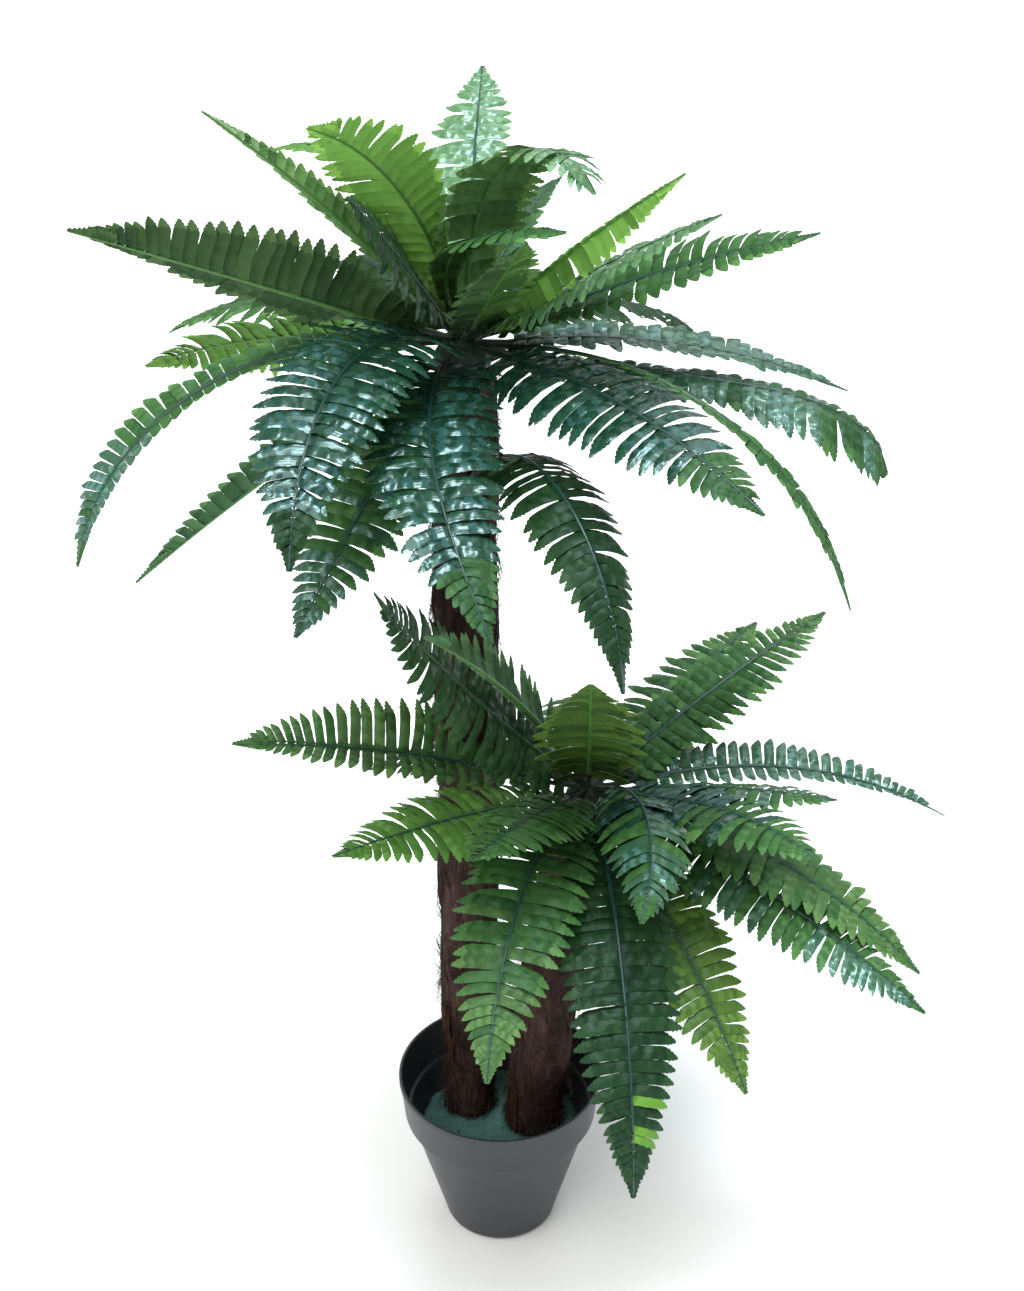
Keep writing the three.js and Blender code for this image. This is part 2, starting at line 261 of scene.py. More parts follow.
class NodeBoard:
    """A material with one Principled shader, and shorthand to wire nodes to it."""

    def __init__(self, name: str, colour: Colour, roughness: float) -> None:
        """Makes the material.

        Args:
            name: The material's name.
            colour: The shader's own base colour.
            roughness: The shader's own roughness.
        """
        self.material = bpy.data.materials.new(name)
        self.material.use_nodes = True
        self.tree = self.material.node_tree
        self.shader = next(n for n in self.tree.nodes if n.type == "BSDF_PRINCIPLED")
        self.set(Base_Color=(*colour, 1.0), Roughness=roughness)

    def set(self, **values: object) -> None:
        """Sets or links the shader's own sockets, each named with _ for a space."""
        for key, value in values.items():
            self.feed(self.shader.inputs[key.replace("_", " ")], value)

    def node(self, kind: str, inputs: dict[str | int, object] | None = None,
             **settings: object) -> Node:
        """Adds a node.

        Args:
            kind: The node's type.
            inputs: Values for its sockets, or sockets to link to them.
            **settings: Its own properties.

        Returns:
            The node.
        """
        made = self.tree.nodes.new(kind)
        for key, value in settings.items():
            setattr(made, key, value)
        for key, value in (inputs or {}).items():
            self.feed(made.inputs[key], value)
        return made

    def feed(self, socket: Socket, value: object) -> None:
        """Links a socket to an input, or gives the input a value.

        Args:
            socket: The input.
            value: An output socket, or a plain value.
        """
        if isinstance(value, Socket):
            self.tree.links.new(value, socket)
        else:
            socket.default_value = value

    def space(self, x: float = 1.0, y: float = 1.0, z: float = 1.0, uv_map: str = "") -> Socket:
        """A socket with coordinates to lay a pattern in, stretched.

        Args:
            x: The stretch along X.
            y: The stretch along Y.
            z: The stretch along Z.
            uv_map: The UV map that they come from, or else they are the object's own.

        Returns:
            The output socket.
        """
        if uv_map:
            place = self.node("ShaderNodeUVMap", uv_map=uv_map).outputs["UV"]
        else:
            place = self.node("ShaderNodeTexCoord").outputs["Object"]
        mapping = self.node("ShaderNodeMapping", {"Vector": place, "Scale": (x, y, z)})
        return mapping.outputs["Vector"]

    def noise(self, vector: Socket, scale: float, detail: float = 3.0, roughness: float = 0.55,
              curl: float = 0.0) -> Socket:
        """A noise pattern's value.

        Args:
            vector: The coordinates it reads.
            scale: Its scale.
            detail: Its octaves.
            roughness: How strong the fine octaves are.
            curl: How much it is twisted.

        Returns:
            The output socket.
        """
        values = {"Vector": vector, "Scale": scale, "Detail": detail, "Roughness": roughness,
                  "Distortion": curl}
        return self.node("ShaderNodeTexNoise", values).outputs["Fac"]

    def ramp(self, value: Socket, *stops: tuple[float, Sequence[float]]) -> Socket:
        """A value turned into a colour.

        Args:
            value: The value from 0 to 1.
            *stops: Positions with their colours.

        Returns:
            The colour socket.
        """
        made = self.node("ShaderNodeValToRGB", {"Fac": value})
        elements = made.color_ramp.elements
        while len(elements) < len(stops):
            elements.new(0.5)
        for element, (position, colour) in zip(elements, stops):
            element.position = position
            element.color = (*colour, 1.0)
        return made.outputs["Color"]

    def level(self, value: Socket, low: float, high: float, start: float = 0.3,
              stop: float = 0.7) -> Socket:
        """A value mapped from one range to another.

        Args:
            value: The value.
            low: What start becomes.
            high: What stop becomes.
            start: The low end of the value.
            stop: The high end of the value.

        Returns:
            The output socket.
        """
        values = {"Value": value, "From Min": start, "From Max": stop, "To Min": low, "To Max": high}
        return self.node("ShaderNodeMapRange", values).outputs["Result"]

    def mix(self, factor: Socket, first: Socket | Colour, second: Socket | Colour) -> Socket:
        """Two colours mixed.

        Args:
            factor: 0 for the first, 1 for the second.
            first: A colour or a socket.
            second: A colour or a socket.

        Returns:
            The colour socket.
        """
        made = self.node("ShaderNodeMix", {0: factor}, data_type="RGBA")
        colours = [socket for socket in made.inputs if socket.type == "RGBA"]
        for socket, value in zip(colours, (first, second)):
            self.feed(socket, value if isinstance(value, Socket) else (*value, 1.0))
        return next(socket for socket in made.outputs if socket.type == "RGBA")

    def bump(self, *layers: tuple[Socket, float, float]) -> None:
        """Chains bumps into the shader's normal.

        Args:
            *layers: Height socket, strength and depth in metres of each bump.
        """
        below: dict[str, Socket] = {}
        for height, strength, depth in layers:
            values = {"Height": height, "Strength": strength, "Distance": depth, **below}
            below = {"Normal": self.node("ShaderNodeBump", values).outputs["Normal"]}
        self.set(**below)


class Face(Enum):
    """Which face of a leaf a finish is for."""

    TOP = "top"
    UNDER = "under"


class Tint(Enum):
    """The dyes that fronds come in, each with the colours of its top and its underside."""

    DEEP = ((0.013, 0.045, 0.015), (0.048, 0.104, 0.036))
    TEAL = ((0.010, 0.054, 0.030), (0.026, 0.082, 0.022))
    MID = ((0.044, 0.134, 0.036), (0.060, 0.148, 0.034))
    FERN = ((0.032, 0.098, 0.030), (0.050, 0.125, 0.030))
    LEAF = ((0.069, 0.158, 0.047), (0.105, 0.235, 0.072))
    FRESH = ((0.092, 0.245, 0.046), (0.105, 0.250, 0.046))
    # LIME's and PALE's undersides are partly the cloth's own lighter colour, and partly painted light
    # that stands for light shining through the thin leaves.
    LIME = ((0.120, 0.290, 0.036), (0.180, 0.420, 0.078))
    PALE = ((0.105, 0.250, 0.105), (0.250, 0.430, 0.200))
    MIST = ((0.040, 0.120, 0.062), (0.070, 0.165, 0.070))
    OLIVE = ((0.082, 0.170, 0.033), (0.050, 0.108, 0.020))

    def colour(self, face: Face) -> Colour:
        """The dye's colour on one face."""
        return self.value[0] if face is Face.TOP else self.value[1]

    def glossy(self) -> bool:
        """True of the dyes whose tops shine most."""
        return self in (Tint.TEAL, Tint.PALE, Tint.MIST)


class Dip(Enum):
    """How a part of a leaflet takes the dye, or a painted highlight over it: its strength, its turn to
    yellow and to blue.

    Leaflets name these by number, 0 to 4 on top, and 5 to 9 for the same ones on the underside.
    """

    DARK = (0.66, 0.00, 0.02)
    EVEN = (0.88, 0.04, 0.00)
    LIGHT = (1.18, 0.10, 0.00)
    EDGE = (1.50, 0.18, 0.00)
    # A painted highlight: a pale bluish lift that stands for the shine on the puckers.
    SHEEN = (1.55, 0.15, 0.34)

    def colour(self, dye: Colour) -> Colour:
        """The colour that a dye gives here.

        Args:
            dye: The dye's own red, green and blue.

        Returns:
            The colour.
        """
        strength, yellow, blue = self.value
        red, green, base = dye
        red, base = red + green * yellow * 0.5, base + green * blue
        return red * strength, green * strength, base * strength


class Finish(ABC):
    """A look that becomes a material when it is first asked for."""

    MADE: dict["Finish", Material] = {}

    @abstractmethod
    def board(self) -> NodeBoard:
        """The look's nodes, wired up."""

    def material(self) -> Material:
        """The material, made on first use."""
        if self not in self.MADE:
            self.MADE[self] = self.board().material
        return self.MADE[self]


@dataclass(frozen=True)
class LeafFinish(Finish):
    """Coated cloth: satin on top, duller under, pressed into puckers, with a fine weave."""

    tint: Tint
    face: Face
    dip: Dip
    gloss_roughness: float = 0.26
    satin_roughness: float = 0.42
    under_roughness: float = 0.58
    gloss_shine: float = 0.75
    satin_shine: float = 0.8
    under_shine: float = 0.3
    satin_ior: float = 1.22
    sheen: Colour = (0.74, 0.97, 1.0)

    def board(self) -> NodeBoard:
        """Wires plain colours, and a bump that follows the leaflet's own length and width."""
        roughness, shine = self.under_roughness, self.under_shine
        gloss = self.face is Face.TOP and self.tint.glossy()
        if self.face is Face.TOP:
            roughness = self.gloss_roughness if gloss else self.satin_roughness
            shine = self.gloss_shine if gloss else self.satin_shine
        name = f"leaf_{self.tint.name}_{self.face.name}_{self.dip.name}".lower()
        board = NodeBoard(name, self.dip.colour(self.tint.colour(self.face)), roughness)
        board.set(Specular_IOR_Level=shine, Specular_Tint=(*self.sheen, 1.0))
        if not gloss:
            board.set(IOR=self.satin_ior)
        pucker = board.noise(board.space(5.0, 0.9, uv_map=LEAF_MAP), 1.0, 0.0)
        vein = board.noise(board.space(1.6, 7.0, uv_map=LEAF_MAP), 1.0, 1.0)
        weave = board.noise(board.space(), 1400.0, 2.0)
        board.bump((pucker, 1.0, 4.5 * MM), (vein, 0.4, 0.7 * MM), (weave, 0.15, 0.12 * MM))
        return board


@dataclass(frozen=True)
class StalkFinish(Finish):
    """Moulded plastic of ribs and stalks."""

    name: str
    colour: Colour
    roughness: float = 0.42
    shine: float = 0.5

    def board(self) -> NodeBoard:
        """Wires a plain colour with a faint grain along the stalk."""
        board = NodeBoard(self.name, self.colour, self.roughness)
        board.set(Specular_IOR_Level=self.shine)
        grain = board.noise(board.space(z=0.25), 300.0, 2.0)
        board.bump((grain, 0.15, 0.3 * MM))
        return board


@dataclass(frozen=True)
class PotFinish(Finish):
    """Dark grey moulded plastic with faint flow marks and scuffs."""

    colour: Colour = (0.0205, 0.0225, 0.028)
    dust: Colour = (0.085, 0.09, 0.095)
    lighter: float = 1.35
    darker: float = 0.85

    def board(self) -> NodeBoard:
        """Wires broad marks, dust over them and a fine grain."""
        board = NodeBoard("pot_plastic", self.colour, 0.4)
        marks = board.noise(board.space(z=0.35), 16.0, 4.0)
        dark = tuple(part * self.darker for part in self.colour)
        light = tuple(part * self.lighter for part in self.colour)
        base = board.ramp(marks, (0.35, dark), (0.65, light))
        dusty = board.level(board.noise(board.space(), 55.0, 5.0, 0.7), 0.0, 0.14, 0.55, 0.75)
        board.set(Base_Color=board.mix(dusty, base, self.dust), Roughness=board.level(marks, 0.36, 0.5))
        grain = board.noise(board.space(), 420.0, 2.0)
        board.bump((grain, 0.12, 0.25 * MM), (marks, 0.1, 0.6 * MM))
        return board


@dataclass(frozen=True)
class FillFinish(Finish):
    """Rough cast fill with uneven dark blue-green paint, black specks and a near-black ragged ring at
    its edge.
    """

    paint: Colour = (0.046, 0.138, 0.130)
    thin: Colour = (0.090, 0.208, 0.192)
    near_black: Colour = (0.006, 0.010, 0.010)
    painted_to: float = 74 * MM
    ragged: float = 6 * MM
    rim: float = 2 * MM

    def board(self) -> NodeBoard:
        """Wires the paint, the specks, the near-black rim and a coarse bump."""
        board = NodeBoard("painted_fill", self.paint, 0.6)
        space = board.space()
        patches = board.noise(space, 38.0, 5.0, 0.62)
        painted = board.ramp(patches, (0.38, self.paint), (0.66, self.thin))
        specks = board.level(board.noise(space, 240.0, 3.0, 0.7), 0.0, 1.0, 0.60, 0.68)
        flat = board.space(z=0.0)
        reach = board.node("ShaderNodeVectorMath", {0: flat}, operation="LENGTH").outputs["Value"]
        shift = board.level(board.noise(space, 60.0, 4.0, 0.65), -self.ragged, self.ragged)
        edge = board.node("ShaderNodeMath", {0: reach, 1: shift}, operation="ADD").outputs[0]
        rim = board.level(edge, 0.0, 0.9, self.painted_to, self.painted_to + self.rim)
        speckled = board.mix(specks, painted, self.near_black)
        board.set(Base_Color=board.mix(rim, speckled, self.near_black),
                  Roughness=board.level(patches, 0.5, 0.78))
        coarse, fine = board.noise(space, 90.0, 5.0), board.noise(space, 420.0, 3.0)
        board.bump((coarse, 0.5, 2.0 * MM), (fine, 0.4, 0.5 * MM))
        return board


@dataclass(frozen=True)
class FibreFinish(Finish):
    """Dry palm fibre: long dark strands with redder and paler streaks."""

    name: str
    dark: Colour
    mid: Colour
    pale: Colour
    roughness: float = 0.85
    shine: float = 0.08

    def board(self) -> NodeBoard:
        """Wires streaks along the trunk, dark blotches over them and a crossed bump."""
        board = NodeBoard(self.name, self.mid, self.roughness)
        strands = board.noise(board.space(z=0.14), 300.0, 5.0, 0.72, 0.9)
        blotches = board.noise(board.space(z=0.5), 26.0, 4.0, 0.6)
        streaked = board.ramp(strands, (0.30, self.dark), (0.55, self.mid), (0.78, self.pale))
        shade = board.level(blotches, 0.0, 0.75, 0.35, 0.62)
        board.set(Base_Color=board.mix(shade, self.dark, streaked), Specular_IOR_Level=self.shine,
                  Roughness=board.level(strands, 0.72, 0.95))
        crossed = board.noise(board.space(z=0.3), 520.0, 3.0, 0.6, 1.4)
        board.bump((strands, 0.9, 1.6 * MM), (crossed, 0.6, 0.8 * MM))
        return board


@dataclass(frozen=True)
class FloorFinish(Finish):
    """Plain pale studio floor."""

    colour: Colour = (0.90, 0.90, 0.90)
    shine: float = 0.2

    def board(self) -> NodeBoard:
        """Wires the plain colour."""
        board = NodeBoard("studio_floor", self.colour, 0.7)
        board.set(Specular_IOR_Level=self.shine)
        return board


BARK = FibreFinish("fibre_wrap", (0.017, 0.0095, 0.0085), (0.090, 0.050, 0.043), (0.190, 0.118, 0.098))
STRAND = FibreFinish("stray_fibre", (0.020, 0.012, 0.011), (0.080, 0.048, 0.042), (0.210, 0.140, 0.115))
BLEACHED = FibreFinish("bleached_fibre", (0.09, 0.062, 0.054), (0.20, 0.145, 0.12), (0.40, 0.30, 0.26))
SCRAP = FibreFinish("sheath_scrap", (0.020, 0.008, 0.004), (0.08, 0.033, 0.014), (0.16, 0.07, 0.03), 0.6)
# Dark green moulding, made near-black as painted shade for the boss and stalk feet deep in the crown.
SHADED_STALK = StalkFinish("stalk_moulding", (0.006, 0.016, 0.006), 0.6, 0.3)
RIB_TOP = StalkFinish("rib_top", (0.009, 0.046, 0.042), 0.30, 0.6)
RIB_UNDER = StalkFinish("rib_under", (0.060, 0.170, 0.026), 0.36)


# ---------------------------------------------------------------- patterns


@dataclass
class Pattern:
    """A small closed mesh that is modelled once and copied.

    Points are (along, across, height) in metres, and slots name a material for each face.
    """

    points: Array
    faces: list[tuple[int, ...]]
    slots: list[int]

    @classmethod
    def taken_from(cls, obj: Object) -> "Pattern":
        """Takes the pattern from a modelled object, which is then removed.

        Args:
            obj: The modelled object, with its length along +X.

        Returns:
            The pattern.
        """
        points = points_of(obj)
        faces = [tuple(face.vertices) for face in obj.data.polygons]
        slots = [face.material_index for face in obj.data.polygons]
        bpy.data.objects.remove(obj, do_unlink=True)
        return cls(points, faces, slots)


class Part(IntEnum):
    """The parts of a leaflet that each take their own dip of the dye, one of them painted light and
    shade.
    """

    FOOT = 0
    EVEN = 1
    EDGE = 2
    # Faces sloping one way on the puckers: their own dip paints the puckers' light and shade, and a
    # painted highlight where they are dealt the sheen.
    SLOPE = 3
    UNDER = 4
    UNDER_EDGE = 5


def grid_column(obj: Object, at: float, reach: tuple[float, float] = (-9.0, 9.0)) -> None:
    """Selects, in edit mode, vertices of one column of a grid that is two units long.

    Args:
        obj: The grid.
        at: The column's X.
        reach: The range of Y that is selected.
    """
    select_vertices(obj, lambda co: abs(co.x - at) < SAME and reach[0] < co.y < reach[1])


@dataclass
class LeafletCutter:
    """Models the die-cut leaflet, flat on XY with its base at the origin and its tip along +X.

    The outline gives shares of the length with shares of the width, one pair for each row. The
    middle two columns of a row are those within the inner share of its half-width, and the
    margins take a smaller share of the puckers' wave than the middle does.
    """

    length: float = 48 * MM
    width: float = 10.3 * MM
    thickness: float = 0.4 * MM
    pucker: float = 0.9 * MM
    arch: float = 1.0 * MM
    least_arch: float = 0.3
    margin_wave: float = 0.3
    wave_end: float = 1.12
    inner: float = 0.6
    skew: float = 1.6 * MM
    apex_shift: float = 0.30
    leans_from: float = 0.7
    dark_until: float = 0.14
    banded_until: float = 0.74
    steep: float = 0.5
    outline: tuple[tuple[float, float], ...] = (
        (0.00, 1.22), (0.05, 1.20), (0.10, 1.04), (0.24, 1.00), (0.38, 1.04), (0.52, 1.00),
        (0.64, 1.04), (0.73, 0.98), (0.77, 0.84), (0.80, 0.96), (0.85, 0.60), (0.875, 0.72),
        (0.925, 0.36), (0.945, 0.44), (1.00, 0.02),
    )

    def row_shift(self, share: float) -> float:
        """How far a row of the leaflet leans towards the frond's tip, in metres."""
        late = max(0.0, share - self.leans_from) / (1.0 - self.leans_from)
        return self.apex_shift * self.width * late

    def part(self, share: float, normal: Vector, swing: float) -> Part:
        """Which part of the leaflet a face belongs to.

        Args:
            share: Where it is on the leaflet's length.
            normal: Which way it looks.
            swing: The leaflet's swing.

        Returns:
            The part.
        """
        row = sum(1 for start, _ in self.outline if start < share)
        if share > self.banded_until or abs(normal.z) < self.steep:
            part = Part.EDGE
        elif share < self.dark_until:
            part = Part.FOOT
        else:
            # Faces that slope one way on the puckers take a part of their own, to paint light and shade
            # over the puckers.
            part = Part.SLOPE if row % 2 == (swing > 0) else Part.EVEN
        if normal.z > -self.steep:
            return part
        return Part.UNDER_EDGE if part is Part.EDGE else Part.UNDER

    def cut(self, swing: float) -> Pattern:
        """Models one leaflet.

        Args:
            swing: How strongly, and to which side first, its puckers go up and down.

        Returns:
            The leaflet as a pattern, with a slot for each part.
        """
        rows = len(self.outline)
        obj = primitive(bpy.ops.mesh.primitive_grid_add, "leaflet", x_subdivisions=rows - 1,
                        y_subdivisions=3, size=2.0)
        bpy.ops.object.mode_set(mode="EDIT")
        for index, (share, wide) in enumerate(self.outline):
            column = -1.0 + 2.0 * index / (rows - 1)
            half, shift = wide * self.width / 2, self.row_shift(share)
            calm = math.sin(math.pi * min(1.0, share * self.wave_end))
            wave = (1 if index % 2 else -1) * swing * self.pucker * calm
            grid_column(obj, column)
            bpy.ops.transform.resize(value=(1.0, half, 1.0), center_override=(column, 0.0, 0.0))
            bpy.ops.transform.translate(value=(0.0, shift, self.margin_wave * wave))
            grid_column(obj, column, (shift - half * self.inner, shift + half * self.inner))
            lift = self.arch * (self.least_arch + calm) + (1.0 - self.margin_wave) * wave
            bpy.ops.transform.translate(value=(0.0, 0.0, lift))
        bpy.ops.object.mode_set(mode="OBJECT")
        points = points_of(obj)
        columns = np.rint((points[:, 0] + 1.0) / 2.0 * (rows - 1)).astype(int)
        side = points[:, 1] - np.array([self.row_shift(share) for share, _ in self.outline])[columns]
        skewed = (np.abs(side) < self.inner / 2 * self.width) & (columns > 1) & (columns < rows - 3)
        skew = np.where(skewed, self.skew * np.sign(side) * math.copysign(1.0, swing), 0.0)
        points[:, 0] = np.array([share for share, _ in self.outline])[columns] * self.length + skew
        set_points(obj, points)
        apply_modifier(obj, "SOLIDIFY", thickness=self.thickness, offset=-1.0)
        for face in obj.data.polygons:
            face.material_index = self.part(face.center.x / self.length, face.normal, swing)
        return Pattern.taken_from(obj)


@dataclass
class TipCutter:
    """Models the fused serrated end of a frond: +X runs to the tip, Y from margin to margin.

    Its slots are the middle and the margins of the top, and the same of the underside.
    """

    rows: int = 23
    thickness: float = 0.4 * MM
    tooth: float = 0.13
    foot_width: float = 0.50
    widening: float = 1.2
    crease: float = 0.5 * MM
    crease_from: float = 0.45
    margin_from: float = 0.3

    def half_width(self, share: float) -> float:
        """The tip's half-width at a share of its length, as a share of the blade's."""
        return min(1.0, self.foot_width + self.widening * share)

    def cut(self) -> Pattern:
        """Models the tip.

        Returns:
            The tip as a pattern: along and across run 0 to 1 and -1 to 1, height in metres.
        """
        obj = primitive(bpy.ops.mesh.primitive_grid_add, "tip", x_subdivisions=self.rows - 1,
                        y_subdivisions=4, size=2.0)
        bpy.ops.object.mode_set(mode="EDIT")
        for index in range(self.rows):
            share = index / (self.rows - 1)
            column = -1.0 + 2.0 * share
            wide = self.half_width(share) * (1.0 + self.tooth * (1 if index % 2 else -1))
            grid_column(obj, column)
            bpy.ops.transform.resize(value=(1.0, wide, 1.0), center_override=(column, 0.0, 0.0))
            if index % 2:
                select_vertices(obj, lambda co: abs(co.x - column) < SAME
                                and abs(co.y) > self.crease_from * wide)
                bpy.ops.transform.translate(value=(0.0, 0.0, self.crease))
        bpy.ops.object.mode_set(mode="OBJECT")
        apply_modifier(obj, "SOLIDIFY", thickness=self.thickness, offset=-1.0)
        for face in obj.data.polygons:
            margin = abs(face.center.y) > self.margin_from or face.center.x > 0.0
            face.material_index = int(margin) + (0 if face.normal.z > -0.2 else 2)
        pattern = Pattern.taken_from(obj)
        pattern.points[:, 0] = (pattern.points[:, 0] + 1.0) / 2.0
        return pattern


@dataclass
class MeshHeap:
    """Gathers copies of patterns into one mesh."""

    points: list[Array] = field(default_factory=list)
    faces: list[tuple[int, ...]] = field(default_factory=list)
    slots: list[int] = field(default_factory=list)
    places: list[Array] = field(default_factory=list)
    size: int = 0

    def add(self, pattern: Pattern, points: Array, slots: Sequence[int], turned: bool,
            stretch: tuple[float, float] = (1.0, 1.0),
            shift: tuple[float, float] = (0.0, 0.0)) -> None:
        """Adds one copy.

        Args:
            pattern: The pattern that is copied.
            points: Where its points go.
            slots: The material index that each of the pattern's slots becomes.
            turned: True where the mapping mirrors it, so its faces are turned back.
            stretch: The extent of its pattern coordinates, along and across.
            shift: What is added to them, to vary them.
        """
        base = self.size
        for face, slot in zip(pattern.faces, pattern.slots):
            corners = tuple(base + corner for corner in face)
            self.faces.append(corners[::-1] if turned else corners)
            self.slots.append(slots[min(slot, len(slots) - 1)])
        extent = np.maximum(np.ptp(pattern.points[:, :2], axis=0), TINY)
        self.places.append(pattern.points[:, :2] / extent * np.array(stretch) + np.array(shift))
        self.points.append(points)
        self.size += len(points)

    def made(self, name: str, materials: Sequence[Material]) -> Object:
        """Makes the object.

        Args:
            name: The object's name.
            materials: Its materials, in slot order.

        Returns:
            The object.
        """
        mesh = bpy.data.meshes.new(name)
        mesh.from_pydata(np.concatenate(self.points).tolist(), [], self.faces)
        mesh.polygons.foreach_set("material_index", self.slots)
        for material in materials:
            mesh.materials.append(material)
        corners = np.zeros(len(mesh.loops), dtype=np.int64)
        mesh.loops.foreach_get("vertex_index", corners)
        layer = mesh.uv_layers.new(name=LEAF_MAP)
        layer.data.foreach_set("uv", np.concatenate(self.places)[corners].ravel())
        mesh.update()
        obj = bpy.data.objects.new(name, mesh)
        bpy.context.scene.collection.objects.link(obj)
        return obj


# ---------------------------------------------------------------- fronds


@dataclass
class Spine:
    """The run of a frond: places, directions and half-widths at even steps from foot to tip."""

    place: Array
    along: Array
    up: Array
    left: Array
    right: Array
    left_width: Array
    right_width: Array

    RIB_DEPTH = 2.4 * MM
    MATCH = 0.004 * MM
    WELD = 0.01 * MM
    LEAST = 1 * MM
    STEPS = 160
    EASING = 9

    @classmethod
    def of_nodes(cls, names: Sequence[str], start: Vector) -> "Spine":
        """Reads a spine back from the blade solids of one frond.

        Each station of a blade has two points that are the rib's depth apart, above and below
        the rib, and one point at each margin.

        Args:
            names: The frond's nodes.
            start: A point near the frond's foot.

        Returns:
            The spine.
        """
        cloud = np.concatenate([points_of(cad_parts[name]) for name in names])
        _, first = np.unique(np.round(cloud / cls.WELD).astype(int), axis=0, return_index=True)
        cloud = cloud[first]
        gaps = np.linalg.norm(cloud[:, None] - cloud[None], axis=2)
        pairs = np.argwhere(np.triu(np.abs(gaps - cls.RIB_DEPTH) < cls.MATCH))
        centres = (cloud[pairs[:, 0]] + cloud[pairs[:, 1]]) / 2
        rest = np.delete(cloud, pairs.ravel(), axis=0)
        order = cls._chain(centres, np.array(start))
        pairs, centres = pairs[order], centres[order]
        raised = cloud[pairs[:, 0]] - cloud[pairs[:, 1]]
        raised[raised[:, 2] <= 0.0] *= -1.0
        up, along = unit(raised), unit(np.gradient(centres, axis=0))
        side = unit(np.cross(up, along))
        owner = np.linalg.norm(rest[:, None] - centres[None], axis=2).argmin(axis=1)
        margins = np.zeros((2, len(centres), 3))
        for point, station in zip(rest, owner):
            offset = point - centres[station]
            margins[0 if offset @ side[station] > 0 else 1, station] = offset
        spread = np.linalg.norm(margins, axis=2)
        if (spread < cls.LEAST).any():
            raise ValueError(f"{names} has a station without two margins")
        return cls._resampled(centres, up, margins, spread)

    @classmethod
    def _chain(cls, centres: Array, start: Array) -> list[int]:
        """The order in which stations follow each other, with near doubles left out.

        Args:
            centres: The stations.
            start: A point near the first.

        Returns:
            Their numbers in turn.
        """
        left = list(range(len(centres)))
        order: list[int] = []
        spot = start
        while left:
            nearest = min(left, key=lambda index: float(np.linalg.norm(centres[index] - spot)))
            left.remove(nearest)
            if order and np.linalg.norm(centres[nearest] - centres[order[-1]]) < cls.LEAST:
                continue
            order.append(nearest)
            spot = centres[nearest]
        return order

    @classmethod
    def _resampled(cls, centres: Array, up: Array, margins: Array, spread: Array) -> "Spine":
        """A spine at even fine steps through the stations, its directions eased over the bends.

        Args:
            centres: The stations.
            up: The direction up from the rib at each.
            margins: The offsets of the left and of the right margin at each.
            spread: How long those offsets are.

        Returns:
            The spine.
        """
        steps = np.linalg.norm(np.diff(centres, axis=0), axis=1)
        coarse = np.concatenate([[0.0], np.cumsum(steps)]) / steps.sum()
        fine = np.linspace(0.0, 1.0, cls.STEPS + 1)
        slope = np.gradient(centres, coarse, axis=0)
        cell = np.clip(np.searchsorted(coarse, fine, side="right") - 1, 0, len(coarse) - 2)
        width = (coarse[cell + 1] - coarse[cell])[:, None]
        share = ((fine - coarse[cell])[:, None]) / width
        place = (
            (1 + 2 * share) * (1 - share) ** 2 * centres[cell]
            + share * (1 - share) ** 2 * width * slope[cell]
            + share**2 * (3 - 2 * share) * centres[cell + 1]
            + share**2 * (share - 1) * width * slope[cell + 1]
        )
        along = unit(np.gradient(place, axis=0))
        window = np.hanning(2 * cls.EASING + 3)[1:-1]
        window = window / window.sum()

        def eased(values: Array) -> Array:
            """Directions at the fine steps, eased and then set square to the rib."""
            rows = [np.interp(fine, coarse, values[:, axis]) for axis in range(3)]
            padded = [np.pad(row, cls.EASING, mode="edge") for row in rows]
            soft = np.stack([np.convolve(row, window, "valid") for row in padded], axis=1)
            return unit(soft - (soft * along).sum(axis=1, keepdims=True) * along)

        sides = (eased(unit(margin)) for margin in margins)
        widths = (np.interp(fine, coarse, side) for side in spread)
        return cls(place, along, eased(up), *sides, *widths)

    @property
    def length(self) -> float:
        """The rib's length in metres."""
        return float(np.linalg.norm(np.diff(self.place, axis=0), axis=1).sum())

    def at(self, values: Array, share: float | Array) -> Array:
        """One of the spine's arrays at a share of its length.

        Args:
            values: The array, such as place.
            share: One share or several, from 0 at the foot to 1 at the tip.

        Returns:
            The interpolated value or values.
        """
        grid = np.linspace(0.0, 1.0, len(values))
        if values.ndim == 1:
            return np.interp(share, grid, values)
        return np.stack([np.interp(share, grid, values[:, axis]) for axis in range(3)], axis=-1)


@dataclass(frozen=True)
class LeafRow:
    """How leaflets are spaced and set along the sides of a frond."""

    first: float = 0.040
    last: float = 0.935
    pitch: float = 10.3 * MM
    tip_pitch: float = 5.4 * MM
    slim_from: float = 0.62
    rib_offset: float = 0.3 * MM
    full_by: float = 0.22
    leaning: float = 5.0
    late_leaning: float = 26.0
    late_from: float = 0.58
    late_over: float = 0.3
    late_power: float = 1.6

    def shares(self, length: float) -> list[tuple[float, float]]:
        """Where the leaflets stand.

        Args:
            length: The rib's length.

        Returns:
            A share of the length and the pitch there, for each leaflet.
        """
        found: list[tuple[float, float]] = []
        share = self.first
        while share < self.last:
            slim = max(0.0, (share - self.slim_from) / (self.last - self.slim_from))
            pitch = self.pitch + (self.tip_pitch - self.pitch) * slim
            found.append((share, pitch))
            share += pitch / length
        return found

    def lean(self, share: float) -> float:
        """The angle, in radians, at which a leaflet leans from square towards the tip."""
        late = max(0.0, (share - self.late_from) / self.late_over)
        return math.radians(self.leaning * share + self.late_leaning * late**self.late_power)


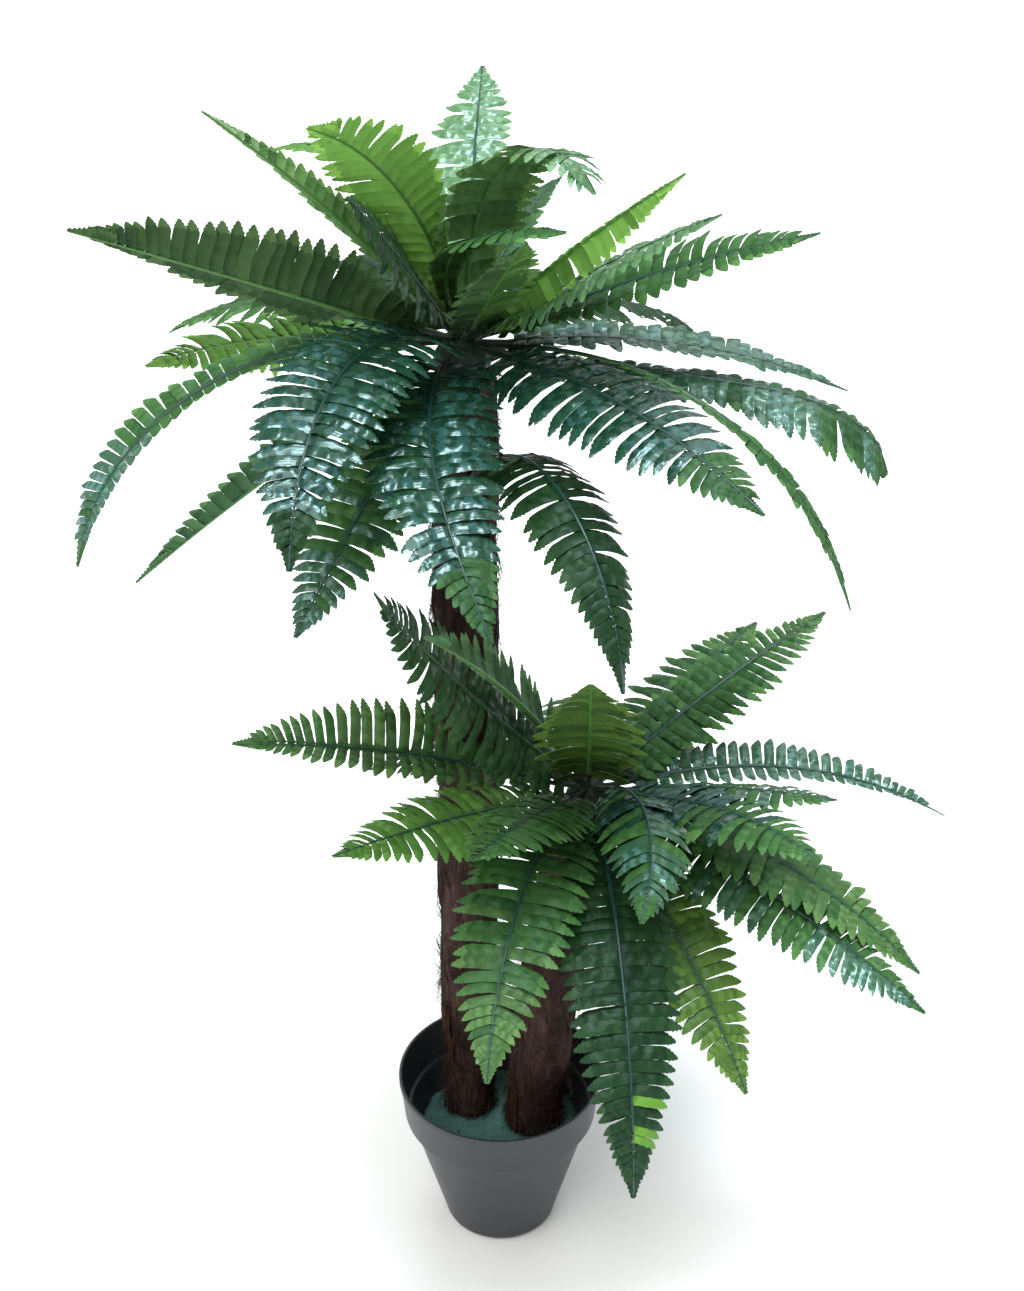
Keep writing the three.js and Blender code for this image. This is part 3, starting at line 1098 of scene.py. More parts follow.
@dataclass(frozen=True)
class Jitter:
    """How leaflets differ by chance: ranges, or a mean and a spread. Angles are in degrees."""

    lean: tuple[float, float] = (0.0, 2.0)
    roll: tuple[float, float] = (5.0, 4.0)
    lift: tuple[float, float] = (0.0, 3.0)
    reach: tuple[float, float] = (0.97, 1.04)
    width: tuple[float, float] = (0.97, 1.03)
    bulge: tuple[float, float] = (0.02, 0.08)
    sag: tuple[float, float] = (0.4, 1.6)
    shift: tuple[float, float] = (0.0, 40.0)


@dataclass(frozen=True)
class Patch:
    """A stretch of a frond whose leaflets take another dye, on one side or on both.

    A stop above one takes in the fused tip. Blur is how far, by chance, its ends shift from
    leaflet to leaflet.
    """

    tint: Tint
    start: float = 0.0
    stop: float = 2.0
    left: bool = True
    right: bool = True
    blur: float = 0.0


@dataclass(frozen=True)
class Habit:
    """What sets one frond apart. Left and right are as seen looking out along its rib.

    Each side has shares of the blade's width at even steps from foot to tip, and an angle in
    degrees by which it is folded up. Spread is a leaflet's width over its room, least is the
    share of the full width kept at the foot, and taper is what the tip loses.
    """

    tint: Tint
    left: tuple[float, ...] = (1.0,)
    right: tuple[float, ...] = (1.0,)
    left_fold: float = 8.0
    right_fold: float = 8.0
    sag: float = 0.06
    spread: float = 1.05
    least: float = 0.85
    taper: float = 0.40
    patches: tuple[Patch, ...] = ()


@dataclass
class Frond:
    """One frond: leaflets along both sides of a spine, and a fused tip.

    The deals say, for the four parts of a leaflet's top and the two of its underside, which
    dip of the dye each may take.
    """

    name: str
    nodes: tuple[str, ...]
    spine: Spine
    habit: Habit
    luck: random.Random
    row: LeafRow = LeafRow()
    jitter: Jitter = Jitter()
    tip_from: float = 0.88
    taper_from: float = 0.60
    taper_power: float = 1.4
    lean_power: float = 0.6
    least_relief: float = 0.35

    LIVELY = (
        (0, 0, 2, 1), (0, 1, 2, 1), (0, 1, 3, 2), (0, 1, 2, 0),
        (0, 1, 1, 1), (0, 0, 3, 1), (0, 1, 2, 2),
    )
    CALM = ((1, 1, 1, 1), (1, 1, 2, 1), (0, 1, 1, 1), (1, 1, 2, 2), (0, 1, 2, 1))
    # Dip 4, the sheen, is a painted highlight; MISTY and SHINING deal it to the pucker slopes.
    MISTY = ((1, 1, 1, 1), (0, 1, 1, 4), (1, 1, 2, 1), (0, 1, 2, 2), (0, 1, 1, 2))
    SHINING = ((0, 0, 1, 4), (0, 1, 1, 4), (0, 0, 1, 1), (0, 1, 2, 4), (0, 0, 2, 2), (0, 1, 1, 2))
    TOPS = {
        Tint.TEAL: SHINING, Tint.MIST: MISTY,
        Tint.FRESH: CALM, Tint.LIME: CALM, Tint.PALE: CALM,
    }
    UNDER = ((6, 7), (6, 8), (5, 7), (7, 8), (5, 8), (6, 8))
    UNDER_CALM = ((6, 7), (6, 8), (6, 6), (6, 7))
    TIP = (1, 1, 6, 7)

    def materials(self) -> list[bpy.types.Material]:
        """For each dye, the dips of the top and then those of the underside."""
        dyes = (self.habit.tint, *(patch.tint for patch in self.habit.patches))
        kinds = [(dye, face, dip) for dye in dyes for face in Face for dip in Dip]
        return [LeafFinish(*kind).material() for kind in kinds]

    def dye(self, share: float, left: bool) -> int:
        """The dye at a share of the rib.

        Args:
            share: Where on the rib.
            left: True on the left of the rib.

        Returns:
            0 for the frond's own dye, or the number of a patch.
        """
        found = 0
        for index, patch in enumerate(self.habit.patches):
            at = share + self.luck.gauss(0.0, patch.blur)
            if patch.start <= at <= patch.stop and (patch.left if left else patch.right):
                found = index + 1
        return found

    def slots(self, share: float, left: bool) -> tuple[int, ...]:
        """The finishes of a leaflet, dealt out by chance.

        Args:
            share: Where on the rib it stands.
            left: True on the left of the rib.

        Returns:
            The material index of each of its parts.
        """
        dye = self.dye(share, left)
        tint = self.habit.patches[dye - 1].tint if dye else self.habit.tint
        tops = self.TOPS.get(tint, self.LIVELY)
        top = self.luck.choice(tops)
        under = self.luck.choice(self.UNDER_CALM if tops is self.CALM else self.UNDER)
        return tuple(2 * len(Dip) * dye + slot for slot in (*top, *under))

    def width(self, share: float | Array, left: bool) -> float | Array:
        """The reach of one side, before a leaflet leans.

        Args:
            share: Where on the rib, one place or several.
            left: True on the left of the rib.

        Returns:
            The reach in metres at each place.
        """
        spine, habit = self.spine, self.habit
        widths = np.maximum(spine.left_width, spine.right_width)
        least = habit.least * spine.at(widths, self.row.full_by)
        width = spine.at(widths, share)
        width = np.where(share < self.row.full_by, np.maximum(width, least), width)
        steps = habit.left if left else habit.right
        late = np.clip((share - self.taper_from) / (1.0 - self.taper_from), 0.0, 1.0)
        stepped = width * np.interp(share, np.linspace(0, 1, len(steps)), steps)
        return stepped * (1 - habit.taper * late**self.taper_power)

    def lay_leaflet(self, heap: MeshHeap, pattern: Pattern, cutter: LeafletCutter, share: float,
                    pitch: float, left: bool) -> None:
        """Lays one leaflet.

        Args:
            heap: What the leaflet joins.
            pattern: The leaflet.
            cutter: What it was cut with.
            share: Where on the rib it stands.
            pitch: The room that it has along the rib.
            left: True on the left of the rib, looking out.
        """
        spine, luck, habit, jitter = self.spine, self.luck, self.habit, self.jitter
        out = unit(spine.at(spine.left if left else spine.right, share))
        forward = unit(spine.at(spine.along, share))
        normal = np.cross(forward, out) if left else np.cross(out, forward)
        lean = self.row.lean(share) + math.radians(luck.gauss(*jitter.lean))
        reach = float(self.width(share, left)) * luck.uniform(*jitter.reach)
        reach /= math.cos(lean) ** self.lean_power
        roll = math.radians(luck.gauss(*jitter.roll))
        fold = habit.left_fold if left else habit.right_fold
        out, normal = swung(out, normal, math.radians(fold + luck.gauss(*jitter.lift)))
        axis, across = swung(out, forward, lean)
        across, normal = swung(across, normal, roll)
        x, y, height = pattern.points.T
        stretch = (reach / cutter.length, pitch / cutter.width)
        x = x * stretch[0]
        y = y * stretch[1] * habit.spread * luck.uniform(*jitter.width)
        bulge = luck.uniform(*jitter.bulge) * reach
        sag = luck.uniform(*jitter.sag) * habit.sag * reach
        part = x / max(reach, TINY)
        relief = height * min(1.0, self.least_relief + (1.0 - self.least_relief) * stretch[0])
        height = relief + bulge * np.sin(math.pi * part) - sag * part**2
        base = spine.at(spine.place, share) + out * self.row.rib_offset
        points = base + np.outer(x, axis) + np.outer(y, across) + np.outer(height, normal)
        shift = (luck.uniform(*jitter.shift), luck.uniform(*jitter.shift))
        heap.add(pattern, points, self.slots(share, left), left, stretch, shift)

    def lay_tip(self, heap: MeshHeap, pattern: Pattern) -> None:
        """Lays the fused tip.

        Args:
            heap: What the tip joins.
            pattern: The tip.
        """
        spine = self.spine
        share = self.tip_from + (1.0 - self.tip_from) * pattern.points[:, 0]
        side = pattern.points[:, 1]
        left = (spine.at(spine.left, share).T * self.width(share, True)).T
        right = (spine.at(spine.right, share).T * self.width(share, False)).T
        offset = np.where(side[:, None] > 0, left, right) * np.abs(side)[:, None]
        points = spine.at(spine.place, share) + offset
        points = points + spine.at(spine.up, share) * pattern.points[:, 2][:, None]
        base = 2 * len(Dip) * self.dye(1.0, True)
        slots = tuple(base + slot for slot in self.TIP)
        shift = (self.luck.uniform(*self.jitter.shift), 0.0)
        heap.add(pattern, points, slots, False, (1.0, 2.0), shift)

    def build(self, leaflets: Sequence[Pattern], tip: Pattern, cutter: LeafletCutter) -> Object:
        """Builds the frond's leaflets as one piece.

        Args:
            leaflets: Leaflets to choose from.
            tip: The fused tip.
            cutter: What the leaflets were cut with.

        Returns:
            The piece.
        """
        heap = MeshHeap()
        for left in (True, False):
            for share, pitch in self.row.shares(self.spine.length):
                pattern = self.luck.choice(leaflets)
                self.lay_leaflet(heap, pattern, cutter, share, pitch, left)
        self.lay_tip(heap, tip)
        obj = heap.made(f"{self.name}_leaflets", self.materials())
        smooth(obj, 50.0)
        return finish_piece(obj, "leaf_fabric", *self.nodes)


@dataclass
class RibWork:
    """The moulded ribs and stalks of one crown, as one piece."""

    foot_radius: float = 2.2 * MM
    mid_radius: float = 1.9 * MM
    tip_radius: float = 0.6 * MM
    thinning: float = 1.3
    foot_until: float = 0.12
    stalk_until: float = 0.09
    ends_at: float = 0.995
    held: float = 0.55
    underside: float = 0.1
    sides: int = 2
    runs: int = 34

    def radius(self, share: float) -> float:
        """The rib's radius at a share of its length."""
        if share < self.foot_until:
            return self.foot_radius
        return self.mid_radius + (self.tip_radius - self.mid_radius) * share**self.thinning

    def build(self, name: str, fronds: Sequence[Frond], anchors: Sequence[Vector]) -> Object:
        """Builds the ribs from bevelled curves and colours their upper and lower faces.

        Args:
            name: The piece's name.
            fronds: The crown's fronds.
            anchors: Where each stalk is held, inside the hub.

        Returns:
            The piece.
        """
        curve = bpy.data.curves.new(name, "CURVE")
        curve.dimensions = "3D"
        curve.bevel_depth = 1.0
        curve.bevel_resolution = self.sides
        curve.use_fill_caps = True
        lookup: list[tuple[Array, Array, float]] = []
        for frond, anchor in zip(fronds, anchors):
            shares = np.linspace(0.0, self.ends_at, self.runs)
            places = frond.spine.at(frond.spine.place, shares)
            ups = unit(frond.spine.at(frond.spine.up, shares))
            inner = np.array(anchor) + (places[0] - np.array(anchor)) * np.array([[0.0], [self.held]])
            path = np.concatenate([inner, places])
            spline = curve.splines.new("POLY")
            spline.points.add(len(path) - 1)
            for index, place in enumerate(path):
                share = float(shares[index - 2]) if index >= 2 else 0.0
                spline.points[index].co = (*place, 1.0)
                spline.points[index].radius = self.radius(share)
            lookup += [(place, up, float(s)) for place, up, s in zip(places, ups, shares)]
        obj = bpy.data.objects.new(name, curve)
        bpy.context.scene.collection.objects.link(obj)
        activate(obj)
        bpy.ops.object.convert(target="MESH")
        obj = bpy.context.object
        self._colour(obj, lookup)
        smooth(obj, 60.0)
        return finish_piece(obj, "stalk_plastic")

    def _colour(self, obj: Object, lookup: Sequence[tuple[Array, Array, float]]) -> None:
        """Gives each face its finish by which way it looks and where on the rib it is.

        Args:
            obj: The ribs.
            lookup: Places on the ribs, each with its direction up and its share of the length.
        """
        tree = KDTree(len(lookup))
        for index, (place, _, _) in enumerate(lookup):
            tree.insert(Vector(place), index)
        tree.balance()
        for finish in (RIB_TOP, RIB_UNDER, SHADED_STALK):
            obj.data.materials.append(finish.material())
        for face in obj.data.polygons:
            _, index, _ = tree.find(face.center)
            _, up, share = lookup[index]
            lower = face.normal.dot(Vector(up)) < self.underside
            face.material_index = 2 if share < self.stalk_until else int(lower)


class CrownName(Enum):
    """The two crowns."""

    TALL = "tall"
    SHORT = "short"


@dataclass
class Crown:
    """All fronds of one trunk, with their ribs and the boss that holds the stalks.

    Tints has a dye's letter for each frond, which a frond with a habit of its own doesn't use.
    """

    which: CrownName
    tints: str
    seed: int
    habits: dict[int, Habit] = field(default_factory=dict)

    LETTERS = {
        "d": Tint.DEEP, "t": Tint.TEAL, "m": Tint.MID, "f": Tint.FRESH,
        "l": Tint.LIME, "p": Tint.PALE, "o": Tint.OLIVE,
    }
    SWINGS = (1.0, -1.0, 0.6, -0.5)
    SEEDS_APART = 1000
    HUB_REACH = 60 * MM
    HUB_SHARE = 0.35
    TRUNK_DEPTH = 12 * MM

    def frond_nodes(self) -> dict[str, tuple[str, ...]]:
        """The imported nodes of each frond, by the frond's name."""
        found: dict[str, list[str]] = {}
        for node in sorted(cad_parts):
            if node.startswith(f"{self.which.value}_frond_"):
                found.setdefault("_".join(node.split("_")[:3]), []).append(node)
        return {name: tuple(nodes) for name, nodes in found.items()}

    def build(self) -> list[Object]:
        """Builds the crown.

        Returns:
            Its pieces.
        """
        low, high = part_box(f"{self.which.value}_hub")
        centre = (low + high) / 2
        cutter = LeafletCutter()
        leaflets = [cutter.cut(swing) for swing in self.SWINGS]
        tip = TipCutter().cut()
        fronds, anchors, pieces = [], [], []
        for index, (name, nodes) in enumerate(self.frond_nodes().items()):
            spine = Spine.of_nodes(nodes, centre)
            habit = self.habits.get(index + 1) or Habit(self.LETTERS[self.tints[index]])
            luck = random.Random(self.seed * self.SEEDS_APART + index)
            frond = Frond(name, nodes, spine, habit, luck)
            fronds.append(frond)
            anchors.append(self.anchor(centre, spine))
            pieces.append(frond.build(leaflets, tip, cutter))
        pieces.append(RibWork().build(f"{self.which.value}_ribs", fronds, anchors))
        pieces.append(StalkBoss(f"{self.which.value}_hub").build())
        return pieces

    def anchor(self, centre: Vector, spine: Spine) -> Vector:
        """Where a stalk is held: in the hub, or just inside the trunk for one that grows lower.

        Args:
            centre: The hub's centre.
            spine: The frond's spine.

        Returns:
            The place.
        """
        foot = Vector(spine.place[0])
        if (foot - centre).length < self.HUB_REACH:
            return centre + (foot - centre) * self.HUB_SHARE
        return foot - Vector(spine.along[0]) * self.TRUNK_DEPTH


@dataclass
class StalkBoss:
    """The moulded boss on a trunk's top that the stalks are plugged into, in millimetres."""

    node: str
    sides: int = 40
    foot: float = 19.0
    flutes: int = 10
    flute_depth: float = 0.05
    profile: tuple[tuple[float, float], ...] = (
        (20.0, 3.0), (21.0, 12.0), (22.0, 15.0), (21.5, 20.0),
        (18.0, 26.0), (14.0, 31.0), (9.0, 35.0), (5.0, 37.0),
    )

    def build(self) -> Object:
        """Models the boss as a turned solid, then flutes it.

        Returns:
            The piece.
        """
        low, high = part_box(self.node)
        middle = (low + high) / 2
        foot = Vector((middle.x, middle.y, low.z))
        obj = turned(f"{self.node}_boss", foot, self.sides, MM, self.foot, self.profile)
        apply_modifier(obj, "BEVEL", width=0.8 * MM, segments=2, limit_method="ANGLE")
        points = points_of(obj)
        centre = np.array(middle)[:2]
        off = points[:, :2] - centre
        flute = 1.0 + self.flute_depth * np.cos(self.flutes * np.arctan2(off[:, 1], off[:, 0]))
        points[:, :2] = centre + off * flute[:, None]
        set_points(obj, points)
        obj.data.materials.append(SHADED_STALK.material())
        smooth(obj, 40.0)
        return finish_piece(obj, "stalk_plastic", self.node)


# ---------------------------------------------------------------- trunks


@dataclass(frozen=True)
class Rings:
    """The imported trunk's rings: their heights, centres and mean radii."""

    levels: Array
    centres: Array
    radii: Array

    @classmethod
    def of_node(cls, node: str) -> "Rings":
        """Reads the rings back from a packed trunk.

        Args:
            node: The trunk's node.

        Returns:
            The rings.
        """
        cloud = points_of(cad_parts[node])
        levels = np.unique(np.round(cloud[:, 2], 4))
        centres, radii = [], []
        for level in levels:
            ring = np.unique(np.round(cloud[np.abs(cloud[:, 2] - level) < SAME], 6), axis=0)
            middle = ring.mean(axis=0)
            centres.append(middle[:2])
            radii.append(np.linalg.norm(ring[:, :2] - middle[:2], axis=1).mean())
        return cls(levels, np.array(centres), np.array(radii))

    @property
    def foot(self) -> float:
        """The height of the lowest ring."""
        return float(self.levels[0])

    @property
    def top(self) -> float:
        """The height of the highest ring."""
        return float(self.levels[-1])

    def at(self, height: float) -> tuple[float, float, float]:
        """The centre's x and y and the radius at a height."""
        x, y = (float(np.interp(height, self.levels, self.centres[:, axis])) for axis in (0, 1))
        return x, y, float(np.interp(height, self.levels, self.radii))


@dataclass(frozen=True)
class Strand:
    """How one fibre runs: where it is rooted, its length and radius, tilt, lift, curl and shade."""

    height: float
    angle: float
    length: float
    thick: float
    tilt: float
    down: bool
    lift: float
    curl: float
    bleached: bool


@dataclass(frozen=True)
class FibreSort:
    """One sort of fibre: ranges of its length, radius and lift, and spreads of tilt and curl.

    Bleached is the share of fibres that are pale, and down the share that hang, if it varies.
    """

    length: tuple[float, float]
    thick: tuple[float, float]
    lift: tuple[float, float]
    curl: float
    tilt: float = 0.0
    down: float = 0.5
    bleached: float = 0.3

    def strand(self, luck: random.Random, height: float, angle: float, tilt: float = 0.0,
               down: bool | None = None) -> Strand:
        """Draws one fibre.

        Args:
            luck: Where chance comes from.
            height: Where it is rooted.
            angle: The bearing there.
            tilt: Its tilt, before the sort's own spread.
            down: True if it hangs, or None where chance says.

        Returns:
            The fibre.
        """
        length, thick = luck.uniform(*self.length) * MM, luck.uniform(*self.thick) * MM
        tilt += luck.gauss(0.0, self.tilt) if self.tilt else 0.0
        down = luck.random() < self.down if down is None else down
        lift, curl = luck.uniform(*self.lift), luck.gauss(0.0, self.curl)
        pale = luck.random() < self.bleached
        return Strand(height, angle, length, thick, tilt, down, lift, curl, pale)


LYING = FibreSort((12, 38), (0.18, 0.40), (0.02, 0.16), 0.45, down=0.6)
TUFT = FibreSort((7, 19), (0.22, 0.42), (0.25, 0.95), 0.4, tilt=0.35)
HEM = FibreSort((8, 18), (0.2, 0.45), (0.2, 0.8), 0.3, tilt=0.6)


@dataclass
class Trunk:
    """A trunk wrapped in palm fibre: a mesh with the wrap's relief, and stray fibres on it.

    A grain is how often a pattern of the relief changes to a metre, across and along the trunk.
    Lying and tufts are how many of each there are to a metre, and hem is how many at the foot.
    Heights in a tuft and in the hem are millimetres, and angles and tilts are radians.
    """

    which: CrownName
    seed: int
    sides: int = 132
    ring_step: float = 3.0 * MM
    long_edge: float = 10 * MM
    embed: float = 3.0 * MM
    inset: float = 1.2 * MM
    calm_top: float = 12 * MM
    least_relief: float = 0.35
    mat_height: float = 0.15
    mat_step: float = 2.4 * MM
    ragged: float = 0.35
    strand_depth: float = 1.0 * MM
    lump_depth: float = 2.4 * MM
    seed_shift: float = 7.3
    mat_grain: float = 90.0
    lump_grain: tuple[float, float] = (38.0, 14.0)
    strand_grain: tuple[float, float] = (420.0, 22.0)
    coarse_grain: tuple[float, float] = (230.0, 16.0)
    coarse_share: float = 0.6
    coarse_slant: float = 25.0
    lying: float = 3400.0
    upright: float = 0.4
    upright_tilt: tuple[float, float] = (0.0, 0.4)
    crossed_tilt: tuple[float, float] = (0.8, 0.6)
    tufts: float = 240.0
    tuft_tilt: float = 0.8
    tuft_down: float = 0.4
    tuft_size: tuple[int, int] = (6, 18)
    tuft_height: float = 3.0
    tuft_angle: float = 0.09
    hem: int = 260
    hem_height: tuple[float, float] = (5, 12)
    root_depth: float = 0.5 * MM
    falling_in: float = 0.45
    drooping: float = 0.25
    below: float = 2 * MM
    above: float = 14 * MM
    scraps: tuple["SheathScrap", ...] = ()

    @property
    def node(self) -> str:
        """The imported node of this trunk."""
        return f"{self.which.value}_trunk"

    def relief(self, angle: float, height: float, radius: float) -> float:
        """How far the wrap stands off its mean surface: overlapping mats, lumps and strands.

        Args:
            angle: The bearing.
            height: The height.
            radius: The trunk's radius there.

        Returns:
            The distance in metres.
        """
        at = Vector((math.cos(angle), math.sin(angle), 0.0)) * radius
        seed = self.seed * self.seed_shift
        ragged = self.ragged * wobble(at.x * self.mat_grain, at.y * self.mat_grain, seed)
        turn = height / self.mat_height + angle / (2 * math.pi) + ragged
        step = self.mat_step * (1.0 - (turn - math.floor(turn))) ** 2
        at.z = height
        wide, tall = self.lump_grain
        lump = wobble(at.x * wide, at.y * wide, at.z * tall + seed)
        wide, tall = self.strand_grain
        strand = wobble(at.x * wide, at.y * wide, at.z * tall + seed)
        wide, tall = self.coarse_grain
        slanted = at.x * wide + at.z * self.coarse_slant
        strand += self.coarse_share * wobble(slanted, at.y * wide, at.z * tall - seed)
        return step + self.lump_depth * lump + self.strand_depth * strand

    def surface(self, rings: Rings, angle: float, height: float) -> Array:
        """A point on the wrap.

        Args:
            rings: The trunk's rings.
            angle: The point's bearing.
            height: Its height.

        Returns:
            The point.
        """
        x, y, radius = rings.at(height)
        ease = min(1.0, (rings.top - height) / self.calm_top + self.least_relief)
        off = radius - self.inset + self.relief(angle, height, radius) * ease
        return np.array([x + off * math.cos(angle), y + off * math.sin(angle), height])

    def build(self) -> list[Object]:
        """Builds the wrap, the fibres on it and the scraps of sheath.

        Returns:
            The pieces.
        """
        rings = Rings.of_node(self.node)
        foot, top = rings.foot - self.embed, rings.top
        obj = primitive(bpy.ops.mesh.primitive_cylinder_add, f"{self.node}_wrap", vertices=self.sides,
                        radius=1.0, depth=top - foot, end_fill_type="NGON",
                        location=(0.0, 0.0, (foot + top) / 2))
        self.split_long_edges(obj, 2, round((top - foot) / self.ring_step) - 1)
        points = points_of(obj)
        for index, (x, y, z) in enumerate(points):
            points[index] = self.surface(rings, math.atan2(y, x), float(z))
        set_points(obj, points)
        obj.data.materials.append(BARK.material())
        smooth(obj, 80.0)
        finish_piece(obj, "trunk_fibre", self.node)
        scraps = [scrap.build(self, rings, index) for index, scrap in enumerate(self.scraps)]
        return [obj, self.fibres(rings), *scraps]

    def split_long_edges(self, obj: Object, axis: int, cuts: int) -> None:
        """Divides the edges that run along an axis.

        Args:
            obj: The object, whose other edges don't run along the axis.
            axis: The axis, 0 to 2.
            cuts: How many cuts each edge gets.
        """
        activate(obj)
        bpy.ops.object.mode_set(mode="EDIT")
        bpy.ops.mesh.select_mode(type="EDGE")
        mesh = bmesh.from_edit_mesh(obj.data)
        for edge in mesh.edges:
            run = abs(edge.verts[0].co[axis] - edge.verts[1].co[axis])
            edge.select_set(run > self.long_edge)
        bmesh.update_edit_mesh(obj.data)
        bpy.ops.mesh.subdivide(number_cuts=cuts)
        bpy.ops.mesh.select_mode(type="VERT")
        bpy.ops.object.mode_set(mode="OBJECT")

    def strand_pattern(self) -> Pattern:
        """Models one fibre: a thin three-sided cone, along +X, a metre long, in three runs."""
        obj = primitive(bpy.ops.mesh.primitive_cone_add, "fibre", vertices=3, radius1=1.0,
                        radius2=0.25, depth=1.0, end_fill_type="NGON",
                        rotation=(0.0, math.pi / 2, 0.0), location=(0.5, 0.0, 0.0))
        self.split_long_edges(obj, 0, 2)
        return Pattern.taken_from(obj)

    def strands(self, rings: Rings) -> Iterator[Strand]:
        """Deals out fibres that lie flat on the wrap, tufts that stand off it, and a torn hem.

        Args:
            rings: The trunk's rings.

        Yields:
            The fibres.
        """
        luck = random.Random(self.seed)
        span, heights, bearings = rings.top - rings.foot, (rings.foot, rings.top), (-math.pi, math.pi)
        for _ in range(round(span * self.lying)):
            upright = luck.random() < self.upright
            tilt = luck.gauss(*(self.upright_tilt if upright else self.crossed_tilt))
            yield LYING.strand(luck, luck.uniform(*heights), luck.uniform(*bearings), tilt)
        for _ in range(round(span * self.tufts)):
            height, angle = luck.uniform(*heights), luck.uniform(*bearings)
            tilt, down = luck.gauss(0.0, self.tuft_tilt), luck.random() < self.tuft_down
            for _ in range(luck.randint(*self.tuft_size)):
                root = height + luck.gauss(0.0, self.tuft_height) * MM
                bearing = angle + luck.gauss(0.0, self.tuft_angle)
                yield TUFT.strand(luck, root, bearing, tilt, down)
        for _ in range(self.hem):
            root = rings.foot + luck.uniform(*self.hem_height) * MM
            yield HEM.strand(luck, root, luck.uniform(*bearings), 0.0, True)

    def fibres(self, rings: Rings) -> Object:
        """Lays all the fibres of the trunk.

        Args:
            rings: The trunk's rings.

        Returns:
            The piece.
        """
        pattern, heap = self.strand_pattern(), MeshHeap()
        for strand in self.strands(rings):
            self.lay(heap, pattern, rings, strand)
        obj = heap.made(f"{self.node}_fibres", [STRAND.material(), BLEACHED.material()])
        activate(obj)
        bpy.ops.object.mode_set(mode="EDIT")
        face_outwards()
        bpy.ops.object.shade_smooth()
        return finish_piece(obj, "trunk_fibre")

    def lay(self, heap: MeshHeap, pattern: Pattern, rings: Rings, strand: Strand) -> None:
        """Lays one fibre.

        Args:
            heap: What the fibre joins.
            pattern: The fibre's mesh.
            rings: The trunk's rings.
            strand: How the fibre runs.
        """
        outward = np.array([math.cos(strand.angle), math.sin(strand.angle), 0.0])
        around, upward = np.array([-outward[1], outward[0], 0.0]), np.array([0.0, 0.0, 1.0])
        base = self.surface(rings, strand.angle, strand.height) - outward * self.root_depth
        rise = math.cos(strand.tilt) * (-1.0 if strand.down else 1.0)
        run = around * math.sin(strand.tilt) + upward * rise
        x, y, height = pattern.points.T
        path = (
            np.outer(x * strand.length, run)
            + np.outer(strand.length * strand.lift * (x - self.falling_in * x**2), outward)
            + np.outer(strand.length * strand.curl * x**2, around)
            - np.outer(strand.length * self.drooping * strand.lift * x**2, upward)
        )
        points = base + path + np.outer(y * strand.thick, around)
        points = points + np.outer(height * strand.thick, outward)
        points[:, 2] = np.clip(points[:, 2], rings.foot - self.below, rings.top + self.above)
        heap.add(pattern, points, (int(strand.bleached),), not strand.down)


@dataclass(frozen=True)
class SheathScrap:
    """A smooth strip of leaf sheath left on a trunk, its bearing in degrees.

    Stand is how far it is off the wrap, in millimetres: all over, more at its sides, and its ribs.
    """

    bearing: float
    foot: float
    height: float
    width: float
    torn: float = 0.22
    narrowing: float = 0.25
    wavy: float = 0.12
    stand: tuple[float, float, float] = (0.9, 0.9, 0.4)

    def build(self, trunk: Trunk, rings: Rings, index: int) -> Object:
        """Models the strip from a grid laid on the wrap, with a torn top and raised sides.

        Args:
            trunk: The trunk that it is on.
            rings: The trunk's rings.
            index: Its number on that trunk.

        Returns:
            The piece.
        """
        obj = primitive(bpy.ops.mesh.primitive_grid_add, f"{trunk.node}_sheath_{index + 1}",
                        x_subdivisions=10, y_subdivisions=24, size=2.0)
        points = points_of(obj)
        for number, (across, along, _) in enumerate(points):
            share = (along + 1.0) / 2.0
            torn = 1.0 - self.torn * share * (1.0 + wobble(across * 4.0, 0.0, self.bearing))
            height = rings.foot + self.foot + share * torn * self.height
            radius = rings.at(height)[2]
            narrow = 1.0 - self.narrowing * share + self.wavy * wobble(along * 3.0, self.bearing, 1.0)
            angle = math.radians(self.bearing) + across * narrow * self.width / 2 / radius
            outward = np.array([math.cos(angle), math.sin(angle), 0.0])
            flat, raised, ribbed = self.stand
            stand = (flat + raised * across**2 + ribbed * math.sin(9.0 * across)) * MM
            points[number] = trunk.surface(rings, angle, height) + outward * stand
        set_points(obj, points)
        apply_modifier(obj, "SOLIDIFY", thickness=0.6 * MM, offset=0.0)
        obj.data.materials.append(SCRAP.material())
        smooth(obj, 60.0)
        return finish_piece(obj, "trunk_fibre")


# ---------------------------------------------------------------- pot and fill


